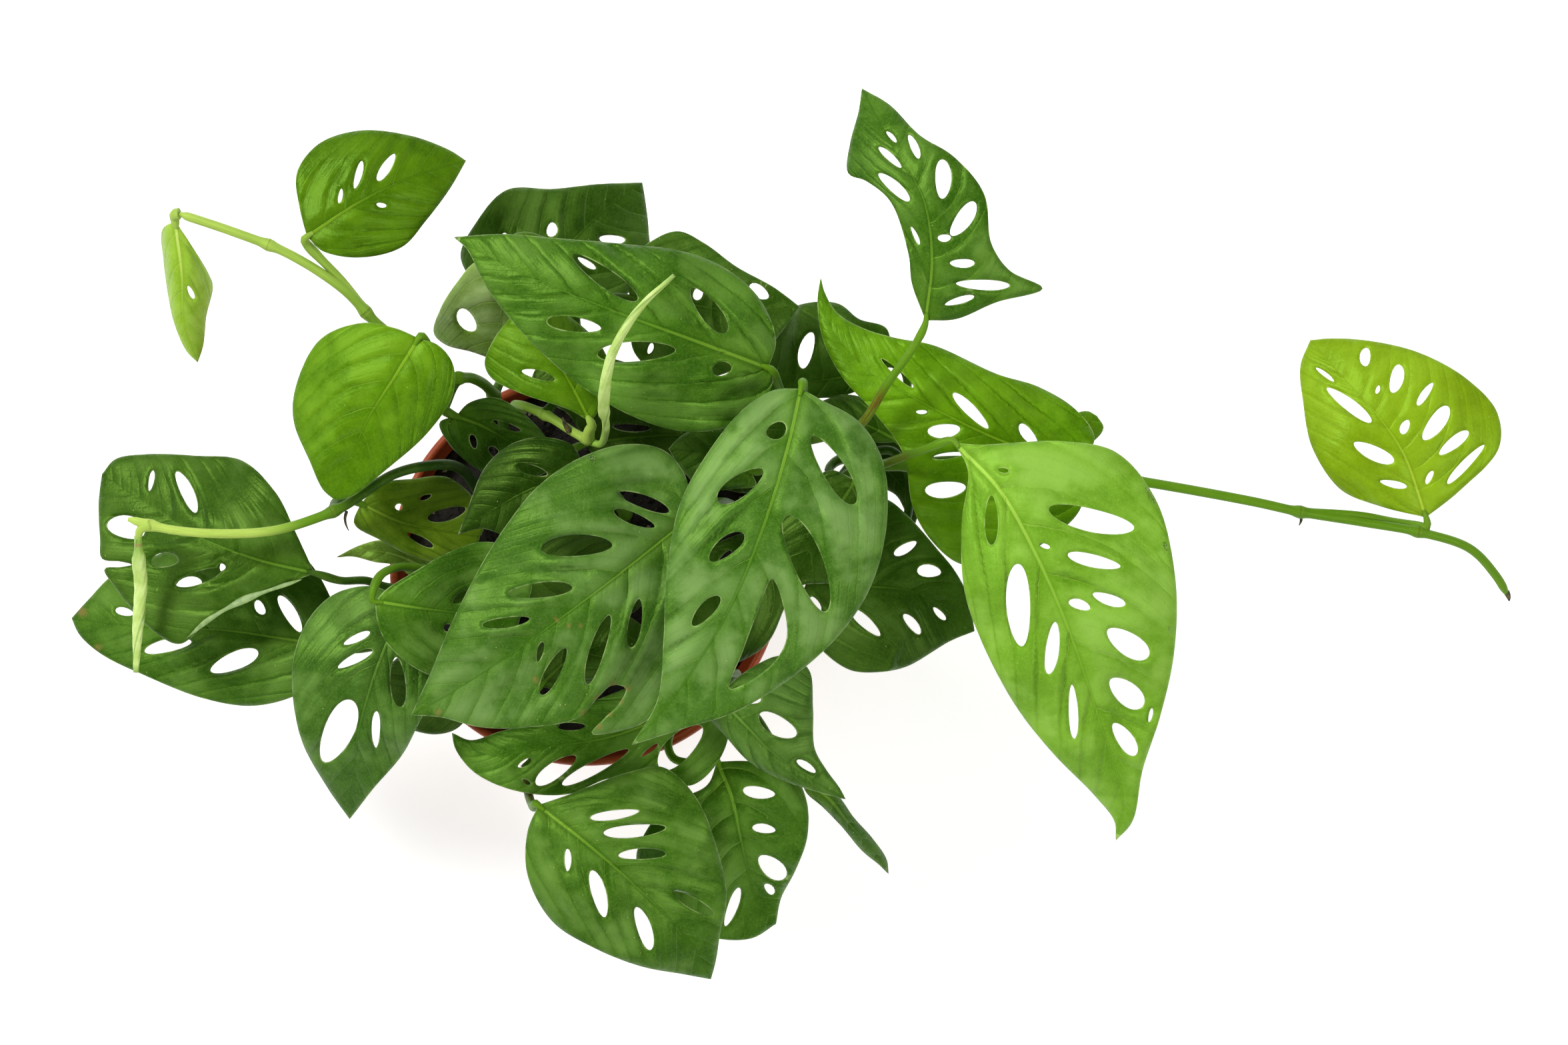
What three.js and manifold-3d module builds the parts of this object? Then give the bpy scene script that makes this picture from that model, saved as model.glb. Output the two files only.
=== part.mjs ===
// Monstera adansonii, a trailing house plant, standing in a round plastic nursery pot.
// Units are millimetres, +Z is up, and the origin is the centre of the pot's underside.
// Blades are height fields over their plan outlines: [x, y] is plan, [x, y, z] is space.
import * as THREE from 'three';
import { mergeVertices } from 'three/addons/utils/BufferGeometryUtils.js';
import Module from 'manifold-3d';

const wasm = await Module();
wasm.setup();

// ---- driving dimensions ---------------------------------------------------------------
const rimDiameter = 120;
const potHeight = 108;
const bladeThickness = 0.7;
const stemRadius = 1.8;
const seat = 0.3;                              // gap between pieces that rest on each other

// ---- sizes worked out from them -------------------------------------------------------
const rimRadius = rimDiameter / 2;
const rimBandHeight = potHeight * 0.12;
const wall = rimDiameter * 0.014;
const shoulderRadius = rimRadius - 2 * wall;
const footRadius = rimDiameter * 0.36;
const floorThickness = wall * 1.5;
const soilTop = potHeight - 10;
const stemFoot = soilTop - 26;                 // the stems stand this deep in the soil
const petioleRadius = stemRadius * 0.78;
const nodeRadius = stemRadius * 1.25;

const plan = (list) => list.map(([x, y]) => new THREE.Vector2(x, y));
const space = (list) => list.map(([x, y, z]) => new THREE.Vector3(x, y, z));

// ---- solids ---------------------------------------------------------------------------
function solidOf(geometry) {
  const bare = geometry.clone();
  bare.deleteAttribute('normal');
  bare.deleteAttribute('uv');
  const welded = mergeVertices(bare, 1e-3);
  return new wasm.Manifold(new wasm.Mesh({
    numProp: 3,
    vertProperties: new Float32Array(welded.attributes.position.array),
    triVerts: new Uint32Array(welded.index.array),
  }));
}

function geometryOf(solid) {
  const mesh = solid.getMesh();
  const geometry = new THREE.BufferGeometry();
  geometry.setAttribute('position', new THREE.BufferAttribute(mesh.vertProperties.slice(), 3));
  geometry.setIndex([...mesh.triVerts]);
  return geometry;
}

function fuse(geometries) {
  let whole = solidOf(geometries[0]);
  for (const geometry of geometries.slice(1)) whole = whole.add(solidOf(geometry));
  return geometryOf(whole);
}

function cut(geometry, tools) {
  let rest = solidOf(geometry);
  for (const tool of tools) rest = rest.subtract(solidOf(tool));
  return geometryOf(rest);
}

function geometryFrom(positions, faces) {
  const geometry = new THREE.BufferGeometry();
  geometry.setAttribute('position', new THREE.Float32BufferAttribute(positions, 3));
  geometry.setIndex(faces);
  return geometry;
}

// A round rod along a smooth curve. radiusAt gives its radius at each share of the length.
function rod(points, radiusAt, spacing = 14, sides = 5) {
  const curve = new THREE.CatmullRomCurve3(space(points), false, 'centripetal');
  const steps = Math.max(3, Math.round(curve.getLength() / spacing));
  const frames = curve.computeFrenetFrames(steps, false);
  const positions = [];
  const faces = [];
  for (let i = 0; i <= steps; i += 1) {
    const centre = curve.getPointAt(i / steps);
    const radius = radiusAt(i / steps);
    for (let k = 0; k < sides; k += 1) {
      const turn = (2 * Math.PI * k) / sides;
      const spot = centre.clone()
        .addScaledVector(frames.normals[i], radius * Math.cos(turn))
        .addScaledVector(frames.binormals[i], radius * Math.sin(turn));
      positions.push(...spot);
    }
  }
  for (let i = 0; i < steps; i += 1) {
    for (let k = 0; k < sides; k += 1) {
      const a = i * sides + k;
      const b = i * sides + ((k + 1) % sides);
      faces.push(a, b, b + sides, a, b + sides, a + sides);
    }
  }
  const last = steps * sides;
  for (let k = 1; k < sides - 1; k += 1) {
    faces.push(0, k + 1, k);
    faces.push(last, last + k, last + k + 1);
  }
  return geometryFrom(positions, faces);
}

// ---- blades ---------------------------------------------------------------------------
const turnOf = (a, b, c) => (b.x - a.x) * (c.y - a.y) - (b.y - a.y) * (c.x - a.x);

// Positive where d lies inside the circle through a, b and c, taken anticlockwise.
function insideCircle(a, b, c, d) {
  const rows = [a, b, c].map((p) => [p.x - d.x, p.y - d.y]);
  const squares = rows.map(([x, y]) => x * x + y * y);
  return squares[0] * (rows[1][0] * rows[2][1] - rows[2][0] * rows[1][1])
    - squares[1] * (rows[0][0] * rows[2][1] - rows[2][0] * rows[0][1])
    + squares[2] * (rows[0][0] * rows[1][1] - rows[1][0] * rows[0][1]);
}

function edgeOwners(faces) {
  const owners = new Map();
  faces.forEach((face, f) => {
    for (let k = 0; k < 3; k += 1) owners.set(`${face[k]},${face[(k + 1) % 3]}`, f);
  });
  return owners;
}

// Swaps the shared edge of two triangles wherever that makes both of them rounder.
function roundOff(points, faces) {
  for (let pass = 0; pass < 40; pass += 1) {
    const owners = edgeOwners(faces);
    const touched = new Set();
    for (const [edge, f] of owners) {
      const [a, b] = edge.split(',').map(Number);
      const g = owners.get(`${b},${a}`);
      if (g === undefined || touched.has(f) || touched.has(g)) continue;
      const c = faces[f].find((v) => v !== a && v !== b);
      const d = faces[g].find((v) => v !== a && v !== b);
      const [pa, pb, pc, pd] = [a, b, c, d].map((v) => points[v]);
      const convex = turnOf(pc, pa, pd) > 1e-4 && turnOf(pd, pb, pc) > 1e-4;
      if (!convex || insideCircle(pa, pb, pc, pd) <= 1e-6) continue;
      faces[f] = [c, a, d];
      faces[g] = [d, b, c];
      touched.add(f).add(g);
    }
    if (touched.size === 0) return;
  }
}

// Triangles over an outline with holes, passing through the given inner points.
function triangulate(outline, holes, inner) {
  const points = [...outline, ...holes.flat(), ...inner];
  const faces = THREE.ShapeUtils.triangulateShape(outline, holes)
    .map(([a, b, c]) => (turnOf(points[a], points[b], points[c]) > 0 ? [a, b, c] : [a, c, b]));
  const first = points.length - inner.length;
  for (let v = first; v < points.length; v += 1) {
    const p = points[v];
    const f = faces.findIndex(([a, b, c]) => turnOf(points[a], points[b], p) > 0
      && turnOf(points[b], points[c], p) > 0 && turnOf(points[c], points[a], p) > 0);
    if (f < 0) throw new Error(`inner point ${p.x}, ${p.y} is off the blade`);
    const [a, b, c] = faces[f];
    faces[f] = [a, b, v];
    faces.push([b, c, v], [c, a, v]);
    roundOff(points, faces);
  }
  roundOff(points, faces);
  return { points, faces };
}

function inside(point, loop) {
  let odd = false;
  loop.forEach((a, i) => {
    const b = loop[(i + 1) % loop.length];
    if ((a.y > point.y) !== (b.y > point.y)
      && point.x < a.x + ((b.x - a.x) * (point.y - a.y)) / (b.y - a.y)) odd = !odd;
  });
  return odd;
}

function distanceTo(point, loop) {
  const segment = new THREE.Line3();
  const from = new THREE.Vector3(point.x, point.y, 0);
  const foot = new THREE.Vector3();
  return Math.min(...loop.map((a, i) => {
    const b = loop[(i + 1) % loop.length];
    segment.start.set(a.x, a.y, 0);
    segment.end.set(b.x, b.y, 0);
    return segment.closestPointToPoint(from, true, foot).distanceTo(from);
  }));
}

// A slot is [centre x, centre y, length, width, angle in degrees], or its own outline.
function holeLoop(hole) {
  if (Array.isArray(hole[0])) {
    const curve = new THREE.SplineCurve(plan([...hole, hole[0]]));
    return curve.getPoints(11).slice(0, -1);
  }
  const [x, y, length, width, degrees] = hole;
  const count = length > 12 ? 10 : length > 6 ? 8 : 6;
  const turn = THREE.MathUtils.degToRad(degrees);
  const loop = [];
  for (let k = 0; k < count; k += 1) {
    const angle = (2 * Math.PI * k) / count;
    const along = (length / 2) * Math.cos(angle);
    const across = (width / 2) * Math.sin(angle);
    loop.push(new THREE.Vector2(
      x + along * Math.cos(turn) - across * Math.sin(turn),
      y + along * Math.sin(turn) + across * Math.cos(turn),
    ));
  }
  return loop;
}

// The foot of a plan point on the rib: its height, its signed distance and its share.
function footOn(rib, x, y) {
  let best = { distance: Infinity };
  for (let i = 0; i < rib.length - 1; i += 1) {
    const [a, b] = [rib[i], rib[i + 1]];
    const [ex, ey] = [b.x - a.x, b.y - a.y];
    const raw = ((x - a.x) * ex + (y - a.y) * ey) / (ex * ex + ey * ey);
    const share = THREE.MathUtils.clamp(raw, 0, 1);
    const distance = Math.hypot(x - a.x - share * ex, y - a.y - share * ey);
    if (distance < best.distance) {
      best = {
        distance,
        height: a.z + share * (b.z - a.z),
        side: Math.sign(ex * (y - a.y) - ey * (x - a.x)) || 1,
        along: (i + share) / (rib.length - 1),
      };
    }
  }
  return best;
}

function spread(loop, rib, side) {
  const feet = loop.map((p) => footOn(rib, p.x, p.y)).filter((foot) => foot.side === side);
  return Math.max(4, ...feet.map((foot) => foot.distance));
}

// rib runs from the base to the tip; one and two are the margins on its two sides.
// lift is how far each margin stands above (or hangs below) the rib where it is widest.
function bladeForm({ rib, one, two, lift, holes = [], grain = 12 }) {
  const curve = new THREE.CatmullRomCurve3(space(rib), false, 'centripetal');
  const ribLine = curve.getSpacedPoints(24);
  const ends = [rib[0], rib[rib.length - 1]];
  const margins = [one, two].map((points) => {
    const line = [ends[0], ...points, ends[1]].map(([x, y]) => new THREE.Vector3(x, y, 0));
    const spline = new THREE.CatmullRomCurve3(line, false, 'centripetal');
    return spline.getSpacedPoints(Math.max(6, Math.round(spline.getLength() / grain)));
  });
  const loop = [...margins[0], ...margins[1].slice(1, -1).reverse()];
  const outline = loop.map((p) => new THREE.Vector2(p.x, p.y));
  if (THREE.ShapeUtils.isClockWise(outline)) outline.reverse();
  const middle = margins[0][Math.floor(margins[0].length / 2)];
  const sideOne = footOn(ribLine, middle.x, middle.y).side;
  const reach = { [sideOne]: spread(outline, ribLine, sideOne) };
  reach[-sideOne] = spread(outline, ribLine, -sideOne);
  const heightAt = (x, y) => {
    const foot = footOn(ribLine, x, y);
    const rise = foot.side === sideOne ? lift[0] : lift[1];
    return foot.height + rise * (foot.distance / reach[foot.side]) ** 2;
  };
  return { curve, ribLine, outline, loops: holes.map(holeLoop), reach, heightAt };
}

// Points inside the blade: the rib itself, and the middle of each half.
function innerPoints({ curve, ribLine, outline, loops, reach }, grain) {
  const steps = Math.max(3, Math.round(curve.getLength() / (grain * 1.25)));
  const picked = [];
  const keep = (x, y, room) => {
    const p = new THREE.Vector2(x, y);
    const clear = inside(p, outline) && distanceTo(p, outline) > room
      && loops.every((loop) => !inside(p, loop) && distanceTo(p, loop) > room * 0.45)
      && picked.every((q) => q.distanceTo(p) > room);
    if (clear) picked.push(p);
  };
  for (let i = 1; i < steps; i += 1) {
    const p = curve.getPointAt(i / steps);
    keep(p.x, p.y, 2.2);
  }
  for (let i = 1; i < steps; i += 1) {
    const p = curve.getPointAt((i + 0.5) / (steps + 1));
    const t = curve.getTangentAt((i + 0.5) / (steps + 1));
    for (const side of [-1, 1]) {
      const out = (reach[side] * 0.55 * side) / Math.hypot(t.x, t.y);
      keep(p.x - t.y * out, p.y + t.x * out, 4.5);
    }
  }
  return picked;
}

function bladeGeometry(data) {
  const grain = data.grain ?? 12;
  const form = bladeForm(data);
  const { points, faces } = triangulate(form.outline, form.loops, innerPoints(form, grain));
  const top = [];
  const under = [];
  const step = 0.4;
  for (const { x, y } of points) {
    const slopeX = (form.heightAt(x + step, y) - form.heightAt(x - step, y)) / (2 * step);
    const slopeY = (form.heightAt(x, y + step) - form.heightAt(x, y - step)) / (2 * step);
    const normal = new THREE.Vector3(-slopeX, -slopeY, 1).normalize();
    const centre = new THREE.Vector3(x, y, form.heightAt(x, y));
    top.push(...centre.clone().addScaledVector(normal, bladeThickness / 2));
    under.push(...centre.clone().addScaledVector(normal, -bladeThickness / 2));
  }
  const count = points.length;
  const index = [];
  const owners = edgeOwners(faces);
  for (const [a, b, c] of faces) index.push(a, b, c, a + count, c + count, b + count);
  for (const edge of owners.keys()) {
    const [a, b] = edge.split(',').map(Number);
    if (!owners.has(`${b},${a}`)) index.push(a + count, b + count, b, a + count, b, a);
  }
  return geometryFrom([...top, ...under], index);
}

// ---- the blades -----------------------------------------------------------------------
const blades = {
  front_centre_leaf: {
    rib: [[65.4, 54.3, 204], [61.3, 36, 210], [54, 12.6, 212], [43, -13.3, 208], [28, -37, 200],
      [14.7, -52.4, 193]],
    one: [[57, 53.8], [47.8, 47.8], [37.5, 35], [29.3, 20], [25.2, -1.6], [24.3, -21], [22.4, -39]],
    two: [[71.3, 51], [82.4, 44.7], [89.5, 33.6], [91.2, 17], [87.3, -2.2], [78.7, -17], [64, -31],
      [45.2, -42.6], [31.5, -47]],
    lift: [-5, -9],
    holes: [[57.9, 42, 6.5, 5, 30], [47.3, 25.3, 16.5, 6.5, 35], [43.2, 6.9, 13, 5.5, 38],
      [37, -12.2, 12, 4.5, 47], [75, 30, 24, 7, -58], [67, 2, 31, 9, -68],
      [[56.8, -2.5], [60.5, -12], [61, -21], [56, -29], [44, -35.5], [48, -24], [52.5, -12]]],
  },
  front_left_leaf: {
    rib: [[30, 14, 180], [14.7, 1.7, 184], [-2, -11, 184], [-20, -24, 180], [-40, -37, 174],
      [-52, -43.7, 170]],
    one: [[31, 27], [24, 36], [12, 37.7], [-2.5, 33], [-13.8, 25], [-23, 13.7], [-30, 2.8],
      [-39.6, -15.7], [-47, -33]],
    two: [[27, 0], [26.8, -14], [25.8, -28], [23, -39], [19, -45.2], [11, -48.4], [2.4, -49.2],
      [6.4, -44.6], [10.6, -40.4], [12.8, -35.6], [8.7, -34.6], [4, -38.6], [-1.3, -44.3],
      [-17, -47.3], [-31, -47.3], [-43.3, -44.3]],
    grain: 7,
    lift: [-6, -7],
    holes: [[-13, -6.2, 19.5, 4.6, 6], [-23.3, -15.6, 14.5, 3.2, 8], [-2, 7, 21.5, 6.6, 3],
      [18, 20.4, 16.5, 4, -20], [15.3, 15.5, 13.3, 3.6, -22], [-13, -24.6, 6.3, 2, 75],
      [-9, -30.5, 16, 4.5, 62], [4.5, -24, 22, 4.5, 72], [15.5, -16, 15, 4, 80]],
  },
  back_centre_leaf: {
    rib: [[55.5, 60.7, 186], [36.5, 67.8, 190], [8.7, 78, 190], [-19, 89.4, 184],
      [-39, 100.2, 176]],
    one: [[57.8, 69], [53, 81.4], [42.7, 90.6], [30.3, 95.6], [11.8, 98], [-6.7, 99.6],
      [-24, 101]],
    two: [[57, 57], [52, 48], [43.5, 43], [30, 41.8], [15.5, 46], [-0.6, 55.4], [-16.6, 69.6],
      [-29, 85], [-35, 96.5]],
    lift: [-8, -6],
    holes: [[6.5, 88, 24, 5.5, -35], [37.7, 78, 17, 6, -52], [-2.7, 73.7, 16.5, 4.5, -8],
      [16, 65.5, 23.5, 6, 3], [41.7, 60.3, 6, 4.3, 15]],
  },
  right_big_leaf: {
    rib: [[111.4, 38.3, 188], [125, 24, 196], [136, 4.3, 198], [146.3, -19.5, 193],
      [154.8, -44, 181], [162.4, -69.5, 163], [160.7, -81.8, 153]],
    one: [[115.5, 30], [113.7, 14], [114.5, -6], [120, -22], [130, -40.7], [141.2, -55],
      [154, -68], [160.2, -76]],
    two: [[118.2, 37.6], [143.7, 38.6], [160, 35.3], [171.8, 21.3], [177.7, -1.6],
      [177.5, -25], [173.5, -44], [168.4, -60], [165.5, -76]],
    lift: [-8, -10],
    holes: [[122.5, 15, 15, 4, 90], [131, -10.5, 25, 7.3, 93], [140.7, -23.4, 16, 4.2, 83],
      [147.2, -42.6, 16.5, 3, 93], [126, 30, 3.5, 1.6, -10], [152.5, 15.5, 26.5, 7, -13],
      [153.3, 2.9, 16.5, 4, -13], [138.4, 7.3, 3.6, 1.6, -20], [157.8, -8.7, 10.5, 3.5, -18],
      [148.9, -10.5, 7, 3.2, -18], [163.6, -22, 15, 7, -33], [163.3, -37, 13, 7, -40],
      [162.8, -51, 12, 5, -55], [170.6, -43.7, 4.5, 1.4, 78]],
  },
  right_back_leaf: {
    rib: [[150, 32, 160], [128.4, 38, 166], [109.3, 46.7, 168], [94.5, 54.7, 166],
      [84.6, 61, 163], [73, 76, 158], [71.4, 88.3, 153]],
    one: [[154, 40], [148.2, 48.5], [137, 55.3], [124.7, 59], [105.6, 67.7], [93.8, 70],
      [84, 73], [76.2, 77.8], [72.5, 84]],
    two: [[150, 19], [140, 9], [125, 2], [113.3, 2], [104.3, 9.6], [99.2, 19], [96.3, 35],
      [88, 47], [77.8, 58.4], [72, 70], [70.5, 81]],
    lift: [-5, -8],
    holes: [[94.5, 59.4, 13, 2, -42], [116.6, 48, 15, 3.5, -45], [134, 41, 8, 3.5, -50],
      [101.8, 47.7, 3.5, 1.4, 0], [108.5, 42.2, 10, 4.3, 5], [110, 34.5, 10, 2, 8],
      [109, 24.5, 12.5, 5, 5]],
  },
  small_east_leaf: {
    rib: [[143, 37, 152], [149, 41.5, 151], [155, 46.5, 148]],
    one: [[141, 41], [146, 46], [152, 48]],
    two: [[148, 36], [154, 39], [157, 43]],
    lift: [-1, -1],
    grain: 7,
  },
  north_east_leaf: {
    rib: [[102.9, 75.1, 186], [104.7, 94, 192], [102, 112, 192], [93, 127, 186], [83.8, 145, 173]],
    one: [[112, 75.5], [124, 80.5], [138, 84.7], [128, 90], [122.5, 98], [120.3, 113],
      [111.4, 124], [101, 130.7], [92, 140]],
    two: [[98.8, 86], [97.7, 95], [92.3, 110.7], [85, 117], [79.7, 119.4], [80.3, 128.6],
      [82.8, 138]],
    lift: [-9, -6],
    holes: [[92.1, 124, 9.3, 2.3, -43], [92.6, 130.2, 4.6, 1.5, -48], [93.3, 115, 12.5, 3.5, -42],
      [99.7, 100.4, 6, 1.4, -65], [99.3, 127.2, 8, 2.5, -67], [107.8, 117.4, 12, 5, 90],
      [114, 105.5, 12.5, 5, 55], [108.4, 99.8, 4.2, 2.4, 3], [113.8, 92.2, 7.6, 2.8, 0],
      [120, 85.8, 16.3, 3.2, -2], [113, 81, 9.3, 2.2, 16]],
  },
  far_east_leaf: {
    rib: [[255.4, 15.9, 128], [248.4, 35.2, 133], [240, 47.6, 132], [231, 57.5, 127],
      [220.6, 69.8, 118]],
    one: [[265.6, 24], [277.6, 37], [277, 48], [267.3, 58.3], [253, 66], [238.5, 69.5],
      [227, 70.3]],
    two: [[241.8, 19.2], [229.4, 24.5], [221, 37], [218.3, 51], [217.6, 62]],
    lift: [-6, -5],
    holes: [[232, 50, 17, 3.8, -38], [239.4, 35.6, 13.5, 4.5, -25], [245.4, 26, 8.5, 2.3, -12],
      [224.8, 59.3, 7, 1.5, -38], [237.2, 64.6, 5.8, 3.4, 85], [246.2, 58, 9, 4.2, 75],
      [255, 53.3, 8.5, 2.4, 55], [258.2, 44.5, 12.8, 5, 53], [263.8, 38.5, 11.5, 3.6, 38],
      [267.5, 32, 16.5, 2.8, 46], [256.4, 28, 4.6, 1.8, 62], [248.9, 43.3, 4.8, 2.8, 65],
      [240.6, 54.7, 2.8, 1.4, 70]],
  },
  bottom_big_leaf: {
    rib: [[-14.2, -71.5, 140], [3, -85, 144], [21.8, -102.3, 136], [32.4, -114, 127],
      [38, -124.8, 117]],
    one: [[-4.2, -68], [13, -61.5], [23.6, -60], [33.6, -69.2], [40.4, -86.3], [42.8, -99.3],
      [40.7, -111.2], [39.5, -119]],
    two: [[-17.5, -80], [-17.3, -93], [-10, -106.7], [3, -115], [17, -120.6], [30, -123.2]],
    lift: [-2, -7],
    holes: [[9, -74.2, 15, 3, 8], [15, -79, 19, 4, 5], [17.3, -86.4, 14.5, 3.4, 2],
      [33, -101.3, 14, 3.5, -30], [-5.3, -88, 7, 2.2, 90], [4, -98.3, 15, 4.5, -75],
      [17.6, -109, 14, 4.5, -72]],
  },
  bottom_long_leaf: {
    rib: [[38, -38, 134], [22, -45.5, 134], [7, -51, 132], [-12, -54, 130], [-28, -56.5, 127],
      [-37, -53.5, 124], [-40.7, -49.8, 122]],
    one: [[36, -28], [18, -34], [0, -41], [-14, -46], [-26, -49.3], [-35, -52]],
    two: [[43.5, -46], [41, -57], [32, -65.5], [20, -62], [7, -63.4], [-6, -68.3], [-22, -67],
      [-34, -61.5], [-39.6, -54.5]],
    lift: [-3, 0],
    holes: [[-9, -61, 15, 5, 35], [3, -60, 23, 4, 28], [19.5, -54.8, 6.5, 1.5, 38],
      [29, -54, 18, 8, 45], [-18.5, -58.8, 5, 2, 30], [-18, -64.5, 3, 1.5, -30],
      [-4.5, -47.5, 9, 2.5, 0]],
  },
  bottom_right_leaf: {
    rib: [[40, -58.5, 126], [44.3, -69.2, 126], [47.8, -85, 119], [52, -101, 108],
      [57.8, -108.3, 102]],
    one: [[50.2, -58.4], [62, -61], [67, -70], [67.3, -81.6], [63.8, -91.6], [59.3, -100.5]],
    two: [[37, -65.6], [25, -71.5], [18.2, -80], [15.4, -87.5], [18, -97], [26, -105.5], [37, -112],
      [50.2, -112.7]],
    lift: [-4, -5],
    holes: [[52.7, -67.7, 10, 3.8, -8], [54.2, -79, 7.3, 3, -8], [56.7, -90.8, 10.5, 6, -40],
      [55.8, -97.6, 4.3, 2.6, -50], [44.5, -103, 12.8, 3.2, 70]],
  },
  south_fold_leaf: {
    rib: [[40, -38, 156], [48.7, -47, 158], [57.6, -56, 155], [70, -64.2, 150], [78.9, -69.5, 146]],
    one: [[50, -30], [60, -26], [67.6, -30], [69, -42], [69.5, -54], [73, -60.5], [77, -66]],
    two: [[38, -44], [43, -50.6], [50, -58.2], [60, -63.6], [71.8, -67.6]],
    lift: [-7, -4],
    holes: [[50.5, -39.2, 6, 2.6, 0], [58.5, -46.8, 13, 6, -30], [67, -59.5, 7, 2.4, -33]],
  },
  south_tail_leaf: {
    rib: [[65.5, -63.3, 136], [73.8, -69.5, 132], [79.8, -77, 124], [85.6, -83.8, 115],
      [92.2, -93, 103]],
    one: [[67, -67.5], [72, -72], [78, -78.3], [84, -85.6], [89.5, -90.3]],
    two: [[70.5, -63.8], [76.5, -68.5], [81.5, -75.5], [87.2, -82], [91.5, -88.5]],
    lift: [-4, -4],
    grain: 9,
  },
  south_east_leaf: {
    rib: [[67.5, -3.2, 150], [76, -4, 151.5], [85, -4.9, 152], [101.4, -7.2, 150], [118, -18.6, 142]],
    one: [[68.5, 5], [75, 14.5], [84, 22], [91.3, 21.3], [98, 16], [106.8, 6], [111.7, 0], [116, -8]],
    two: [[65.6, -8.5], [66.8, -16], [71.4, -23.8], [80, -30.2], [88.3, -31], [97.4, -29.3],
      [110.6, -21.6]],
    lift: [-4, -6],
    holes: [[85, -16, 12, 3.5, -42], [97, 6.5, 8, 3, 30], [104.2, -0.5, 7.5, 4, -5],
      [99, -16.5, 8, 3, -50], [107.4, -13.3, 5.5, 2, -45], [69.8, -10.5, 5.5, 3, -60]],
  },
  north_mid_leaf: {
    rib: [[14, 82, 160], [32, 80, 161], [48, 78, 158], [65, 79.6, 152]],
    one: [[12, 92], [19, 98.5], [28, 102.3], [36, 98.8], [46, 91.5], [57, 85.5]],
    two: [[14, 76], [15, 66], [22, 59.5], [32, 57.5], [44, 60], [56, 68]],
    lift: [-4, -3],
    holes: [[52.8, 84.2, 7, 4, -35], [34.4, 83.6, 4.6, 3, 70], [19.9, 66.9, 3.6, 1.8, 70]],
  },
  north_east_dark_leaf: {
    rib: [[92, 62, 140], [76, 58, 142], [62, 57, 140], [52, 60, 135]],
    one: [[91.5, 73], [83, 76], [77, 80.6], [68, 81], [60, 78], [53, 70]],
    two: [[86, 56], [77, 52.5], [69, 51.5], [63.5, 46], [60, 39.5], [54, 38], [49.5, 43], [49, 52]],
    lift: [-5, -3],
    holes: [[67.3, 66.5, 11.5, 4.5, 75]],
  },
  dark_east_leaf: {
    rib: [[95, 39, 150], [87, 43, 151], [77, 47, 149], [69, 50, 146]],
    one: [[94.5, 45], [89, 50], [79, 53]],
    two: [[90, 38.5], [82, 39.5], [74, 43]],
    lift: [-2, -2],
    grain: 9,
  },
  centre_east_leaf: {
    rib: [[82, 27, 162], [76, 18, 164], [68, 6, 164], [60, -7, 160]],
    one: [[74, 30], [65, 23], [58, 12], [55.5, 0]],
    two: [[88, 20], [86, 8], [77, -3], [66, -4.5]],
    lift: [-3, -3],
  },
  centre_low_leaf: {
    rib: [[50, 30, 160], [38, 35, 162], [25.5, 36.5, 158]],
    one: [[48, 37], [42, 43], [33, 42.3], [28.5, 39.8]],
    two: [[51.8, 25.6], [45.5, 24.6], [36, 24.4], [29, 31]],
    lift: [-2, -3],
  },
  centre_dark_leaf: {
    rib: [[62, 8, 146], [48, -2, 147], [34, -12, 145], [24, -22, 142]],
    one: [[54, 12], [40, 8], [28, 0], [23, -10]],
    two: [[62.5, -6], [59.8, -13], [55.2, -22.3], [47, -27.8], [38, -30.3], [29, -28]],
    lift: [-3, -4],
    holes: [[42, 2, 9, 3, 60], [46, -13, 12, 4, -60]],
  },
  north_low_leaf: {
    rib: [[0, 38, 132], [14, 40, 135.5], [31, 40.5, 135], [46, 34, 131], [56, 27, 126]],
    one: [[-5, 47], [-16, 54], [-15, 61], [-6, 65], [6, 64.5], [20, 60], [36, 53], [48, 44], [55, 35]],
    two: [[5, 32], [16, 29.5], [30, 29], [42, 24.5], [51, 23.5]],
    lift: [-2, -3],
    holes: [[14.1, 43.2, 11.5, 2.4, -3]],
  },
  low_centre_leaf: {
    rib: [[-18, -3, 118], [-4, 0, 121.5], [10, 0, 121], [24, -3, 115]],
    one: [[-16, 5], [-6, 11.5], [6, 10], [16, 5]],
    two: [[-17, -12], [-6, -18], [8, -17], [18, -10]],
    lift: [-3, -4],
  },
  south_low_leaf: {
    rib: [[-14, -35.5, 122], [-6, -28, 125.5], [6, -22, 125], [19, -18.5, 120]],
    one: [[-18, -28], [-12, -20], [0, -14.5], [12, -14]],
    two: [[-8, -36.5], [4, -33.5], [13, -28], [18, -22]],
    lift: [-1, -3],
  },
  south_west_low_leaf: {
    rib: [[-30, -30, 116], [-40, -34, 118], [-50, -38, 116], [-60, -42, 111]],
    one: [[-34, -24], [-44, -23.5], [-54, -25], [-60.5, -30], [-62.5, -36.5]],
    two: [[-31.5, -37.5], [-36, -45], [-40, -48.8], [-45.5, -50.2], [-51.5, -49.4], [-58, -46.5]],
    lift: [-3, -3],
  },
  east_gap_leaf: {
    rib: [[82, 33, 132], [90, 31, 134], [96, 25, 132], [100, 13.5, 126]],
    one: [[87, 40], [96, 41], [102, 34], [103, 23]],
    two: [[83.5, 27], [89, 25.2], [94.4, 22.6], [97.6, 17]],
    lift: [-2, -2],
  },
  inner_bright_leaf: {
    rib: [[1.9, 44.6, 166], [-3.6, 55.4, 168], [-10, 66, 167], [-20, 80, 162]],
    one: [[-4.3, 48.3], [-19, 53.3], [-28, 58], [-30, 62.5], [-27, 70], [-22.5, 76]],
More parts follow.
